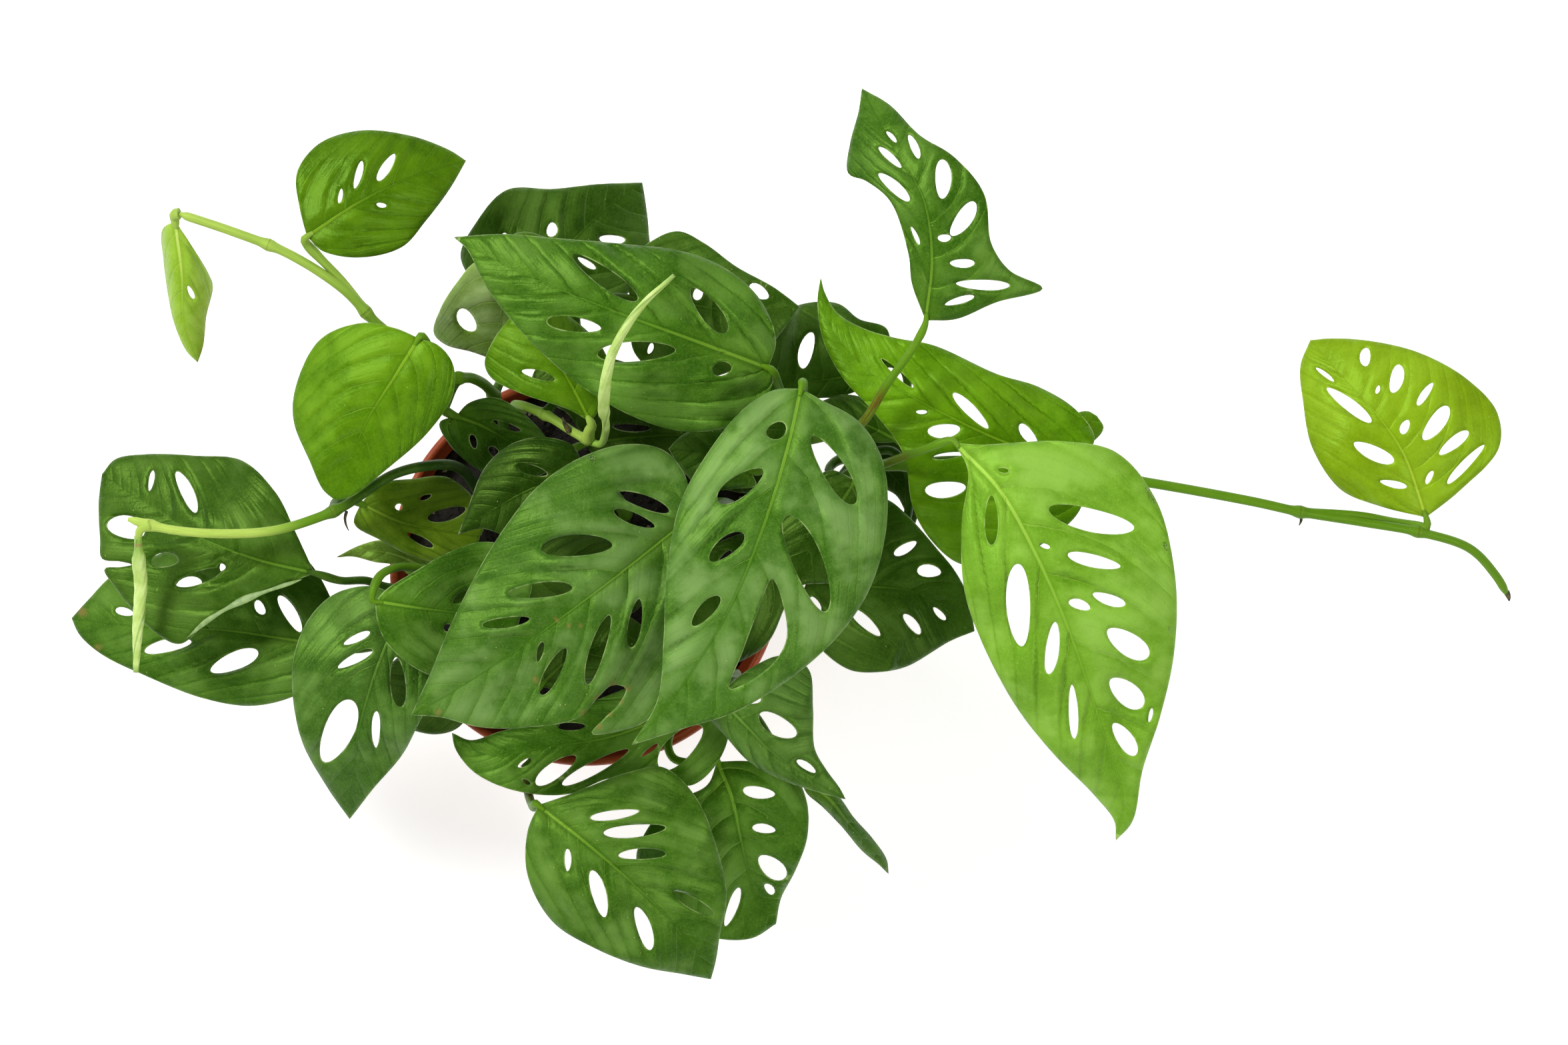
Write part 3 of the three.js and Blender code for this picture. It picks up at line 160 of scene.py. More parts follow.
class Wiring:  # places and joins the nodes of one tree
    def __init__(self, tree):
        self.tree = tree

    def add(self, kind, inputs=None, **settings):
        node = self.tree.nodes.new(kind)
        for name, value in settings.items():
            setattr(node, name, value)
        for key, value in (inputs or {}).items():
            self.put(value, node.inputs[key])
        return node

    def put(self, value, socket):
        if isinstance(value, bpy.types.NodeSocket):
            self.tree.links.new(value, socket)
        else:
            socket.default_value = value

    def calc(self, operation, *values):
        return self.add("ShaderNodeMath", dict(enumerate(values)), operation=operation).outputs[0]

    def times(self, first, *others):
        for value in others:
            first = self.calc("MULTIPLY", first, value)
        return first

    def total(self, base, *parts):  # adds to the base each part's value times its share
        for value, share in parts:
            base = self.calc("MULTIPLY_ADD", value, share, base)
        return base

    def ramp(self, value, low, high, first=0.0, last=1.0):
        inputs = {"Value": value, "From Min": low, "From Max": high, "To Min": first, "To Max": last}
        return self.add("ShaderNodeMapRange", inputs, interpolation_type="SMOOTHSTEP").outputs[0]

    def mix(self, share, first, second):
        return self.add("ShaderNodeMix", {0: share, 6: first, 7: second}, data_type="RGBA",
                        clamp_result=False).outputs[2]

    def coats(self, colour, *layers):  # lays each layer's colour on by its share
        for share, coat in layers:
            colour = self.mix(share, colour, coat)
        return colour

    def spot(self):
        return self.add("ShaderNodeTexCoord").outputs["Object"]

    def noise(self, place, size, detail=3.0, rough=0.5):  # size in millimetres
        inputs = {"Vector": place, "Scale": 1 / (size * mm), "Detail": detail, "Roughness": rough}
        return self.add("ShaderNodeTexNoise", inputs).outputs["Fac"]

    def cells(self, place, size, **settings):  # size in millimetres
        inputs = {"Vector": place, "Scale": 1 / (size * mm)}
        return self.add("ShaderNodeTexVoronoi", inputs, **settings).outputs

    def stretched(self, place, *scale):
        return self.add("ShaderNodeMapping", {"Vector": place, "Scale": scale}).outputs[0]

    def reading(self, name):  # a value stored on the piece's own mesh
        return self.add("ShaderNodeAttribute", attribute_name=name).outputs["Fac"]

    def altered(self, kind, geometry, **inputs):  # the geometry after one node
        return self.add("GeometryNode" + kind, {"Geometry": geometry, **inputs}).outputs["Geometry"]

    def dress(self, skin, colour, rough, height):  # height in millimetres
        bump = self.add("ShaderNodeBump", {"Strength": 1.0, "Distance": mm, "Height": height})
        for value, name in ((colour, "Base Color"), (rough, "Roughness"), (bump.outputs[0], "Normal")):
            self.put(value, skin[name])


def newGroup(name, kind, wanted, given):
    tree = bpy.data.node_groups.new(name, kind)
    for way, sockets in (("INPUT", wanted), ("OUTPUT", given)):
        for label, sort in sockets.items():
            tree.interface.new_socket(name=label, in_out=way, socket_type="NodeSocket" + sort)
    wires = Wiring(tree)
    return tree, wires, wires.add("NodeGroupInput").outputs, wires.add("NodeGroupOutput").inputs


def newMaterial(name, preview, **numbers):  # numbers are set on the shader's own sockets
    material = bpy.data.materials.new(name)
    material.use_nodes = True
    material.diffuse_color = preview
    skin = material.node_tree.nodes["Principled BSDF"].inputs
    for label, value in numbers.items():
        skin[label.replace("_", " ")].default_value = value
    return material, Wiring(material.node_tree), skin


def meshFrom(name, spots, faces, edges=()):
    mesh = bpy.data.meshes.new(name)
    mesh.from_pydata((np.asarray(spots) * mm).tolist(), edges, faces)
    mesh.polygons.foreach_set("use_smooth", [True] * len(mesh.polygons))
    return mesh


def store(mesh, **lists):  # values for the points, read by the materials and node trees
    for name, values in lists.items():
        mesh.attributes.new(name, "FLOAT", "POINT").data.foreach_set("value", np.asarray(values, np.float32))


def asPiece(name, mesh, material, slot, *nodes):
    piece = placed(name, mesh)
    if material:
        mesh.materials.clear()
        mesh.materials.append(material)
    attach(piece, "root")
    if nodes:
        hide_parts(*nodes)


def evaluated(thing, name):  # the mesh that an object's modifiers make
    bpy.context.view_layer.update()
    ready = thing.evaluated_get(bpy.context.evaluated_depsgraph_get())
    mesh = bpy.data.meshes.new_from_object(ready)
    mesh.name = name
    return mesh


def grown(source, tree, name, **settings):  # runs a node tree on a helper mesh and keeps the result
    helper = placed(name + "Helper", source)
    modifier = helper.modifiers.new("grow", "NODES")
    modifier.node_group = tree
    for item in tree.interface.items_tree:
        if item.in_out == "INPUT" and item.name in settings:
            modifier[item.identifier] = settings[item.name]
    mesh = evaluated(helper, name)
    bpy.data.objects.remove(helper)
    return mesh


# Blades in plan: rib from base to tip with heights, the two margins, and slots as
# [centre x, centre y, length, width, degrees] or as an outline. Lift bends the two halves. A mark of brown is
# [x, y, size, strength].
# Light scales all of a blade's colours; its low values, on the blades lying under the others, are painted
# shade.
leaves = {
    "front_centre_leaf": {"tone": "misty", "paintedSheen": 0.9, "ribWidth": 1.3, "lift": [-5, -9],
        "rib": [[65.4, 54.3, 204], [61.3, 36, 210], [54, 12.6, 212], [43, -13.3, 208], [28, -37, 200],
            [14.7, -52.4, 193]],
        "one": [[57, 53.8], [47.8, 47.8], [37.5, 35], [29.3, 20], [25.2, -1.6], [24.3, -21], [22.4, -39]],
        "two": [[71.3, 51], [82.4, 44.7], [89.5, 33.6], [91.2, 17], [87.3, -2.2], [78.7, -17], [64, -31],
            [45.2, -42.6], [31.5, -47]],
        "holes": [[57.9, 42, 6.5, 5, 30], [47.3, 25.3, 16.5, 6.5, 35], [43.2, 6.9, 13, 5.5, 38],
            [37, -12.2, 12, 4.5, 47], [75, 30, 24, 7, -58], [67, 2, 31, 9, -68],
            [[56.8, -2.5], [60.5, -12], [61, -21], [56, -29], [44, -35.5], [48, -24], [52.5, -12]]]},
    "front_left_leaf": {"tone": "misty", "light": 0.87, "ribWidth": 0.9, "paintedSheen": 0.85, "lift": [-6, -7],
        "rib": [[30, 14, 180], [14.7, 1.7, 184], [-2, -11, 184], [-20, -24, 180], [-40, -37, 174],
            [-52, -43.7, 170]],
        "one": [[31, 27], [24, 36], [12, 37.7], [-2.5, 33], [-13.8, 25], [-23, 13.7], [-30, 2.8],
            [-39.6, -15.7], [-47, -33]],
        "two": [[27, 0], [26.8, -14], [25.8, -28], [23, -39], [19, -45.2], [11, -48.4], [2.4, -49.2],
            [6.4, -44.6], [10.6, -40.4], [12.8, -35.6], [8.7, -34.6], [4, -38.6], [-1.3, -44.3],
            [-17, -47.3], [-31, -47.3], [-43.3, -44.3]],
        "holes": [[-13, -6.2, 19.5, 4.6, 6], [-23.3, -15.6, 14.5, 3.2, 8], [-2, 7, 21.5, 6.6, 3],
            [18, 20.4, 16.5, 4, -20], [15.3, 15.5, 13.3, 3.6, -22], [-13, -24.6, 6.3, 2, 75],
            [-9, -30.5, 16, 4.5, 62], [4.5, -24, 22, 4.5, 72], [15.5, -16, 15, 4, 80]],
        "marks": [[-8, -15, 1.0, 0.7], [-4, -16.5, 0.8, 0.6], [-1, -17, 0.7, 0.5], [-14.4, -33, 1.1, 0.9],
            [12.9, -35.6, 1.2, 0.8], [11.4, -39.4, 1.2, 0.8], [8, -43.2, 1.2, 0.8], [4.6, -46.9, 1.3, 0.8],
            [8.7, -34.6, 1.5, 0.8], [4, -38.4, 1.1, 0.7], [0, -43, 1.3, 0.8], [-43.8, -43, 1.1, 0.7]]},
    "back_centre_leaf": {"tone": "mid", "light": 0.95, "paintedSheen": 0.4, "ribWidth": 1.4, "veinStrength": 1.4,
        "quilt": 1.25, "lift": [-8, -6],
        "rib": [[55.5, 60.7, 186], [36.5, 67.8, 190], [8.7, 78, 190], [-19, 89.4, 184], [-39, 100.2, 176]],
        "one": [[57.8, 69], [53, 81.4], [42.7, 90.6], [30.3, 95.6], [11.8, 98], [-6.7, 99.6], [-24, 101]],
        "two": [[57, 57], [52, 48], [43.5, 43], [30, 41.8], [15.5, 46], [-0.6, 55.4], [-16.6, 69.6],
            [-29, 85], [-35, 96.5]],
        "holes": [[6.5, 88, 24, 5.5, -35], [37.7, 78, 17, 6, -52], [-2.7, 73.7, 16.5, 4.5, -8],
            [16, 65.5, 23.5, 6, 3], [41.7, 60.3, 6, 4.3, 15]]},
    "right_big_leaf": {"tone": "fresh", "paintedSheen": 0.75, "veinStrength": 1.6, "ribWidth": 1.5,
        "lift": [-8, -10],
        "rib": [[111.4, 38.3, 188], [125, 24, 196], [136, 4.3, 198], [146.3, -19.5, 193], [154.8, -44, 181],
            [162.4, -69.5, 163], [160.7, -81.8, 153]],
        "one": [[115.5, 30], [113.7, 14], [114.5, -6], [120, -22], [130, -40.7], [141.2, -55], [154, -68],
            [160.2, -76]],
        "two": [[118.2, 37.6], [143.7, 38.6], [160, 35.3], [171.8, 21.3], [177.7, -1.6], [177.5, -25],
            [173.5, -44], [168.4, -60], [165.5, -76]],
        "holes": [[122.5, 15, 15, 4, 90], [131, -10.5, 25, 7.3, 93], [140.7, -23.4, 16, 4.2, 83],
            [147.2, -42.6, 16.5, 3, 93], [126, 30, 3.5, 1.6, -10], [152.5, 15.5, 26.5, 7, -13],
            [153.3, 2.9, 16.5, 4, -13], [138.4, 7.3, 3.6, 1.6, -20], [157.8, -8.7, 10.5, 3.5, -18],
            [148.9, -10.5, 7, 3.2, -18], [163.6, -22, 15, 7, -33], [163.3, -37, 13, 7, -40],
            [162.8, -51, 12, 5, -55], [170.6, -43.7, 4.5, 1.4, 78]]},
    "right_back_leaf": {"tone": "yellow", "paintedSheen": 0.3, "lift": [-5, -8],
        "rib": [[150, 32, 160], [128.4, 38, 166], [109.3, 46.7, 168], [94.5, 54.7, 166], [84.6, 61, 163],
            [73, 76, 158], [71.4, 88.3, 153]],
        "one": [[154, 40], [148.2, 48.5], [137, 55.3], [124.7, 59], [105.6, 67.7], [93.8, 70], [84, 73],
            [76.2, 77.8], [72.5, 84]],
        "two": [[150, 19], [140, 9], [125, 2], [113.3, 2], [104.3, 9.6], [99.2, 19], [96.3, 35], [88, 47],
            [77.8, 58.4], [72, 70], [70.5, 81]],
        "holes": [[94.5, 59.4, 13, 2, -42], [116.6, 48, 15, 3.5, -45], [134, 41, 8, 3.5, -50],
            [101.8, 47.7, 3.5, 1.4, 0], [108.5, 42.2, 10, 4.3, 5], [110, 34.5, 10, 2, 8],
            [109, 24.5, 12.5, 5, 5]]},
    "small_east_leaf": {"tone": "yellow", "light": 0.9, "lift": [-1, -1],
        "rib": [[143, 37, 152], [149, 41.5, 151], [155, 46.5, 148]],
        "one": [[141, 41], [146, 46], [152, 48]],
        "two": [[148, 36], [154, 39], [157, 43]]},
    "north_east_leaf": {"tone": "mid", "light": 0.95, "paintedSheen": 0.45, "lift": [-9, -6],
        "rib": [[102.9, 75.1, 186], [104.7, 94, 192], [102, 112, 192], [93, 127, 186], [83.8, 145, 173]],
        "one": [[112, 75.5], [124, 80.5], [138, 84.7], [128, 90], [122.5, 98], [120.3, 113], [111.4, 124],
            [101, 130.7], [92, 140]],
        "two": [[98.8, 86], [97.7, 95], [92.3, 110.7], [85, 117], [79.7, 119.4], [80.3, 128.6],
            [82.8, 138]],
        "holes": [[92.1, 124, 9.3, 2.3, -43], [92.6, 130.2, 4.6, 1.5, -48], [93.3, 115, 12.5, 3.5, -42],
            [99.7, 100.4, 6, 1.4, -65], [99.3, 127.2, 8, 2.5, -67], [107.8, 117.4, 12, 5, 90],
            [114, 105.5, 12.5, 5, 55], [108.4, 99.8, 4.2, 2.4, 3], [113.8, 92.2, 7.6, 2.8, 0],
            [120, 85.8, 16.3, 3.2, -2], [113, 81, 9.3, 2.2, 16]]},
    "far_east_leaf": {"tone": "lemon", "light": 0.95, "paintedSheen": 0.3, "lift": [-6, -5],
        "rib": [[255.4, 15.9, 128], [248.4, 35.2, 133], [240, 47.6, 132], [231, 57.5, 127],
            [220.6, 69.8, 118]],
        "one": [[265.6, 24], [277.6, 37], [277, 48], [267.3, 58.3], [253, 66], [238.5, 69.5], [227, 70.3]],
        "two": [[241.8, 19.2], [229.4, 24.5], [221, 37], [218.3, 51], [217.6, 62]],
        "holes": [[232, 50, 17, 3.8, -38], [239.4, 35.6, 13.5, 4.5, -25], [245.4, 26, 8.5, 2.3, -12],
            [224.8, 59.3, 7, 1.5, -38], [237.2, 64.6, 5.8, 3.4, 85], [246.2, 58, 9, 4.2, 75],
            [255, 53.3, 8.5, 2.4, 55], [258.2, 44.5, 12.8, 5, 53], [263.8, 38.5, 11.5, 3.6, 38],
            [267.5, 32, 16.5, 2.8, 46], [256.4, 28, 4.6, 1.8, 62], [248.9, 43.3, 4.8, 2.8, 65],
            [240.6, 54.7, 2.8, 1.4, 70]]},
    "bottom_big_leaf": {"tone": "mid", "light": 0.95, "paintedSheen": 0.6, "ribWidth": 1.3, "lift": [-2, -7],
        "rib": [[-14.2, -71.5, 140], [3, -85, 144], [21.8, -102.3, 136], [32.4, -114, 127],
            [38, -124.8, 117]],
        "one": [[-4.2, -68], [13, -61.5], [23.6, -60], [33.6, -69.2], [40.4, -86.3], [42.8, -99.3],
            [40.7, -111.2], [39.5, -119]],
        "two": [[-17.5, -80], [-17.3, -93], [-10, -106.7], [3, -115], [17, -120.6], [30, -123.2]],
        "holes": [[9, -74.2, 15, 3, 8], [15, -79, 19, 4, 5], [17.3, -86.4, 14.5, 3.4, 2],
            [33, -101.3, 14, 3.5, -30], [-5.3, -88, 7, 2.2, 90], [4, -98.3, 15, 4.5, -75],
            [17.6, -109, 14, 4.5, -72]]},
    "bottom_long_leaf": {"tone": "mid", "paintedSheen": 0.5, "lift": [-3, 0],
        "rib": [[38, -38, 134], [22, -45.5, 134], [7, -51, 132], [-12, -54, 130], [-28, -56.5, 127],
            [-37, -53.5, 124], [-40.7, -49.8, 122]],
        "one": [[36, -28], [18, -34], [0, -41], [-14, -46], [-26, -49.3], [-35, -52]],
        "two": [[43.5, -46], [41, -57], [32, -65.5], [20, -62], [7, -63.4], [-6, -68.3], [-22, -67],
            [-34, -61.5], [-39.6, -54.5]],
        "holes": [[-9, -61, 15, 5, 35], [3, -60, 23, 4, 28], [19.5, -54.8, 6.5, 1.5, 38],
            [29, -54, 18, 8, 45], [-18.5, -58.8, 5, 2, 30], [-18, -64.5, 3, 1.5, -30],
            [-4.5, -47.5, 9, 2.5, 0]]},
    "bottom_right_leaf": {"tone": "mid", "light": 1.1, "ribWidth": 1.4, "veinStrength": 1.3,
        "lift": [-4, -5],
        "rib": [[40, -58.5, 126], [44.3, -69.2, 126], [47.8, -85, 119], [52, -101, 108],
            [57.8, -108.3, 102]],
        "one": [[50.2, -58.4], [62, -61], [67, -70], [67.3, -81.6], [63.8, -91.6], [59.3, -100.5]],
        "two": [[37, -65.6], [25, -71.5], [18.2, -80], [15.4, -87.5], [18, -97], [26, -105.5], [37, -112],
            [50.2, -112.7]],
        "holes": [[52.7, -67.7, 10, 3.8, -8], [54.2, -79, 7.3, 3, -8], [56.7, -90.8, 10.5, 6, -40],
            [55.8, -97.6, 4.3, 2.6, -50], [44.5, -103, 12.8, 3.2, 70]]},
    "south_fold_leaf": {"tone": "blue", "light": 0.92, "paintedSheen": 0.5, "lift": [-7, -4],
        "rib": [[40, -38, 156], [48.7, -47, 158], [57.6, -56, 155], [70, -64.2, 150], [78.9, -69.5, 146]],
        "one": [[50, -30], [60, -26], [67.6, -30], [69, -42], [69.5, -54], [73, -60.5], [77, -66]],
        "two": [[38, -44], [43, -50.6], [50, -58.2], [60, -63.6], [71.8, -67.6]],
        "holes": [[50.5, -39.2, 6, 2.6, 0], [58.5, -46.8, 13, 6, -30], [67, -59.5, 7, 2.4, -33]]},
    "south_tail_leaf": {"tone": "mid", "light": 0.85, "lift": [-4, -4],
        "rib": [[65.5, -63.3, 136], [73.8, -69.5, 132], [79.8, -77, 124], [85.6, -83.8, 115],
            [92.2, -93, 103]],
        "one": [[67, -67.5], [72, -72], [78, -78.3], [84, -85.6], [89.5, -90.3]],
        "two": [[70.5, -63.8], [76.5, -68.5], [81.5, -75.5], [87.2, -82], [91.5, -88.5]]},
    "south_east_leaf": {"tone": "deep", "lift": [-4, -6],
        "rib": [[67.5, -3.2, 150], [76, -4, 151.5], [85, -4.9, 152], [101.4, -7.2, 150], [118, -18.6, 142]],
        "one": [[68.5, 5], [75, 14.5], [84, 22], [91.3, 21.3], [98, 16], [106.8, 6], [111.7, 0], [116, -8]],
        "two": [[65.6, -8.5], [66.8, -16], [71.4, -23.8], [80, -30.2], [88.3, -31], [97.4, -29.3],
            [110.6, -21.6]],
        "holes": [[85, -16, 12, 3.5, -42], [97, 6.5, 8, 3, 30], [104.2, -0.5, 7.5, 4, -5],
            [99, -16.5, 8, 3, -50], [107.4, -13.3, 5.5, 2, -45], [69.8, -10.5, 5.5, 3, -60]]},
    "north_mid_leaf": {"tone": "deep", "lift": [-4, -3],
        "rib": [[14, 82, 160], [32, 80, 161], [48, 78, 158], [65, 79.6, 152]],
        "one": [[12, 92], [19, 98.5], [28, 102.3], [36, 98.8], [46, 91.5], [57, 85.5]],
        "two": [[14, 76], [15, 66], [22, 59.5], [32, 57.5], [44, 60], [56, 68]],
        "holes": [[52.8, 84.2, 7, 4, -35], [34.4, 83.6, 4.6, 3, 70], [19.9, 66.9, 3.6, 1.8, 70]]},
    "north_east_dark_leaf": {"tone": "deep", "lift": [-5, -3],
        "rib": [[92, 62, 140], [76, 58, 142], [62, 57, 140], [52, 60, 135]],
        "one": [[91.5, 73], [83, 76], [77, 80.6], [68, 81], [60, 78], [53, 70]],
        "two": [[86, 56], [77, 52.5], [69, 51.5], [63.5, 46], [60, 39.5], [54, 38], [49.5, 43], [49, 52]],
        "holes": [[67.3, 66.5, 11.5, 4.5, 75]]},
    "dark_east_leaf": {"tone": "deep", "lift": [-2, -2],
        "rib": [[95, 39, 150], [87, 43, 151], [77, 47, 149], [69, 50, 146]],
        "one": [[94.5, 45], [89, 50], [79, 53]],
        "two": [[90, 38.5], [82, 39.5], [74, 43]]},
    "centre_east_leaf": {"tone": "deep", "slot": "leaf_green", "light": 0.7, "lift": [-3, -3],
        "rib": [[82, 27, 162], [76, 18, 164], [68, 6, 164], [60, -7, 160]],
        "one": [[74, 30], [65, 23], [58, 12], [55.5, 0]],
        "two": [[88, 20], [86, 8], [77, -3], [66, -4.5]]},
    "centre_low_leaf": {"tone": "mid", "light": 0.7, "lift": [-2, -3],
        "rib": [[50, 30, 160], [38, 35, 162], [25.5, 36.5, 158]],
        "one": [[48, 37], [42, 43], [33, 42.3], [28.5, 39.8]],
        "two": [[51.8, 25.6], [45.5, 24.6], [36, 24.4], [29, 31]]},
    "centre_dark_leaf": {"tone": "deep", "light": 0.7, "lift": [-3, -4],
        "rib": [[62, 8, 146], [48, -2, 147], [34, -12, 145], [24, -22, 142]],
        "one": [[54, 12], [40, 8], [28, 0], [23, -10]],
        "two": [[62.5, -6], [59.8, -13], [55.2, -22.3], [47, -27.8], [38, -30.3], [29, -28]],
        "holes": [[42, 2, 9, 3, 60], [46, -13, 12, 4, -60]]},
    "north_low_leaf": {"tone": "deep", "light": 0.6, "lift": [-2, -3],
        "rib": [[0, 38, 132], [14, 40, 135.5], [31, 40.5, 135], [46, 34, 131], [56, 27, 126]],
        "one": [[-5, 47], [-16, 54], [-15, 61], [-6, 65], [6, 64.5], [20, 60], [36, 53], [48, 44],
            [55, 35]],
        "two": [[5, 32], [16, 29.5], [30, 29], [42, 24.5], [51, 23.5]],
        "holes": [[14.1, 43.2, 11.5, 2.4, -3]]},
    "low_centre_leaf": {"tone": "deep", "light": 0.6, "lift": [-3, -4],
        "rib": [[-18, -3, 118], [-4, 0, 121.5], [10, 0, 121], [24, -3, 115]],
        "one": [[-16, 5], [-6, 11.5], [6, 10], [16, 5]],
        "two": [[-17, -12], [-6, -18], [8, -17], [18, -10]]},
    "south_low_leaf": {"tone": "deep", "light": 0.6, "lift": [-1, -3],
        "rib": [[-14, -35.5, 122], [-6, -28, 125.5], [6, -22, 125], [19, -18.5, 120]],
        "one": [[-18, -28], [-12, -20], [0, -14.5], [12, -14]],
        "two": [[-8, -36.5], [4, -33.5], [13, -28], [18, -22]]},
    "south_west_low_leaf": {"tone": "deep", "light": 0.6, "lift": [-3, -3],
        "rib": [[-30, -30, 116], [-40, -34, 118], [-50, -38, 116], [-60, -42, 111]],
        "one": [[-34, -24], [-44, -23.5], [-54, -25], [-60.5, -30], [-62.5, -36.5]],
        "two": [[-31.5, -37.5], [-36, -45], [-40, -48.8], [-45.5, -50.2], [-51.5, -49.4], [-58, -46.5]]},
    "east_gap_leaf": {"tone": "deep", "light": 0.6, "lift": [-2, -2],
        "rib": [[82, 33, 132], [90, 31, 134], [96, 25, 132], [100, 13.5, 126]],
        "one": [[87, 40], [96, 41], [102, 34], [103, 23]],
        "two": [[83.5, 27], [89, 25.2], [94.4, 22.6], [97.6, 17]]},
    "inner_bright_leaf": {"tone": "yellow", "paintedSheen": 0.6, "light": 0.78, "lift": [-3, -4],
        "rib": [[1.9, 44.6, 166], [-3.6, 55.4, 168], [-10, 66, 167], [-20, 80, 162]],
        "one": [[-4.3, 48.3], [-19, 53.3], [-28, 58], [-30, 62.5], [-27, 70], [-22.5, 76]],
        "two": [[4.4, 48.3], [8, 56], [6, 66], [-4, 76], [-13, 80]],
        "holes": [[-13.8, 58.7, 10.5, 2.8, -15]]},
    "back_low_leaf": {"tone": "deep", "lift": [-4, -5],
        "rib": [[-18, 80, 128], [-8, 95, 127], [4, 108, 119], [17, 118, 108]],
        "one": [[-30, 84], [-38, 95], [-33, 106], [-24, 115.5], [-10, 115.8], [4, 117.4]],
        "two": [[-4, 76], [10, 82], [19, 92], [19, 103], [18, 112]],
        "holes": [[-24.7, 101, 3, 2, 90], [-10.4, 103.4, 4.6, 3.4, 80], [8, 100.6, 8, 3, -3],
            [0.3, 93.2, 6.5, 2, -32]]},
    "back_left_leaf": {"tone": "grey", "paintedSheen": 0.9, "lift": [-5, -3],
        "rib": [[-24, 95, 158], [-25, 84, 153], [-25.5, 74, 143], [-27, 63.5, 132]],
        "one": [[-33, 93], [-38.5, 87], [-43.5, 79.5], [-46, 72], [-42.5, 68.4], [-34.5, 66.2]],
        "two": [[-14, 92], [-9, 82], [-10, 72], [-18, 65]],
        "holes": [[-35.7, 75.7, 8, 5, -55]]},
    "left_bright_leaf": {"tone": "yellow", "light": 0.84, "paintedSheen": 0.55, "lift": [-8, -5],
        "rib": [[-49.7, 69.7, 176], [-57, 58, 176], [-65.4, 44.7, 172], [-75, 21, 164]],
        "one": [[-56, 72.5], [-66.7, 74.4], [-79.6, 69.4], [-87, 55], [-87.6, 45], [-82.7, 32.8],
            [-78.7, 24.2]],
        "two": [[-43.8, 67.6], [-39.5, 62], [-39.5, 53], [-47, 41.6], [-60, 30], [-70, 22.3]]},
    "north_west_leaf": {"tone": "yellow", "light": 0.64, "paintedSheen": 0.2, "lift": [-5, -5],
        "rib": [[-83.6, 100.6, 163], [-66.6, 111.7, 164], [-51.8, 118.8, 158], [-36, 123.8, 149]],
        "one": [[-86, 110], [-86.7, 120], [-80.2, 128.7], [-68.4, 132.6], [-53, 131.3], [-41, 127]],
        "two": [[-78.9, 96.3], [-67.8, 94.4], [-55, 97.7], [-48, 105.5], [-41, 115]],
        "holes": [[-73.6, 112.9, 4.6, 1.5, 80], [-68.2, 119.3, 8.8, 2.2, 75], [-59.8, 121.6, 9.8, 3, 58],
            [-61.2, 110.2, 3.2, 1.6, -10]]},
    "far_west_leaf": {"tone": "pale", "paintedSheen": 0.8, "lift": [-8, -9],
        "rib": [[-123.7, 105.4, 156], [-121.8, 89, 152], [-121.6, 75, 144], [-117.7, 63, 134]],
        "one": [[-127.7, 103], [-127.5, 94], [-126.3, 84], [-124.5, 75], [-121, 66.5]],
        "two": [[-119.5, 99], [-114, 89.5], [-112.9, 86], [-115, 76.7], [-116, 68]],
        "holes": [[-119.2, 84, 4.4, 1.6, -65]]},
    "west_upper_leaf": {"tone": "deep", "lift": [-4, -5],
        "rib": [[-82, -1, 146], [-99, 3, 147], [-115, 9, 143], [-133, 20, 134], [-147, 29, 126]],
        "one": [[-88, 12], [-93.5, 23], [-104, 33], [-118, 34.5], [-133, 35], [-143, 33.5]],
        "two": [[-92, -5], [-104, -10], [-114.5, -16], [-123, -22.5], [-131, -18.5], [-143, -5],
            [-146, 0.2], [-141, 0.7], [-137.4, 1.5], [-141, 2.5], [-146.8, 3.4], [-147.4, 9], [-148, 20]],
        "holes": [[-121, 23.5, 14, 4, -64], [-139.5, 12.5, 12, 7, -12], [-127.5, 2.7, 8.5, 4.5, 5],
            [-117, -2.2, 15, 4, 18], [-110, 0.8, 2.6, 2.4, 0], [-131.8, 27, 6.5, 1.8, 80]]},
    "west_lower_leaf": {"tone": "mid", "light": 0.85, "lift": [-4, -5],
        "rib": [[-74, -24, 126], [-87.5, -21.7, 127], [-110, -18.5, 121], [-136, -17.5, 109],
            [-157.5, -15, 97]],
        "one": [[-77.7, -8.5], [-86, 4], [-100, 10], [-118, 9], [-134, 3], [-145, -2], [-152, -9]],
        "two": [[-80, -33], [-89, -38.6], [-102, -41.5], [-117.5, -39], [-135.5, -32], [-148, -26],
            [-155, -20]],
        "holes": [[-141, -13, 6, 2.6, -12], [-99, -11.5, 5, 3, -60], [-90, -13.5, 13, 4, -58],
            [-127.5, -23.5, 15, 4, 12], [-107, -28, 16, 5.5, 22], [-121, -4.8, 8.5, 4.6, 15],
            [-109.6, 0.6, 4, 3.6, 0]],
        "marks": [[-154, -13, 2.2, 0.8], [-146, -2, 1.2, 0.7], [-149, -24, 1.2, 0.7]]},
    "south_west_leaf": {"tone": "blue", "light": 0.95, "lift": [-5, -4],
        "rib": [[-55, -11, 148], [-63.3, -31, 149], [-68.7, -49, 142], [-70, -58, 134], [-72, -76, 117]],
        "one": [[-63, -5.3], [-75, -7], [-83, -14], [-87.7, -24.6], [-88.7, -36], [-85.8, -52.3],
            [-78.7, -66]],
        "two": [[-46, -18], [-43, -28], [-45, -38], [-49, -44], [-55.5, -56], [-64.5, -66.5]],
        "holes": [[-69, -20.7, 9, 2.5, 25], [-69.5, -27, 12, 3, 27], [-75, -49, 21, 9, 65],
            [-63.3, -48.5, 11.4, 2.7, 88], [-56.5, -34, 15.3, 4.7, -85]]},
    "west_inner_leaf": {"tone": "mid", "paintedSheen": 0.6, "lift": [-3, -4],
        "rib": [[-63, -9.5, 163], [-48.5, -11.7, 162], [-34, -13.5, 158], [-20, -16, 154]],
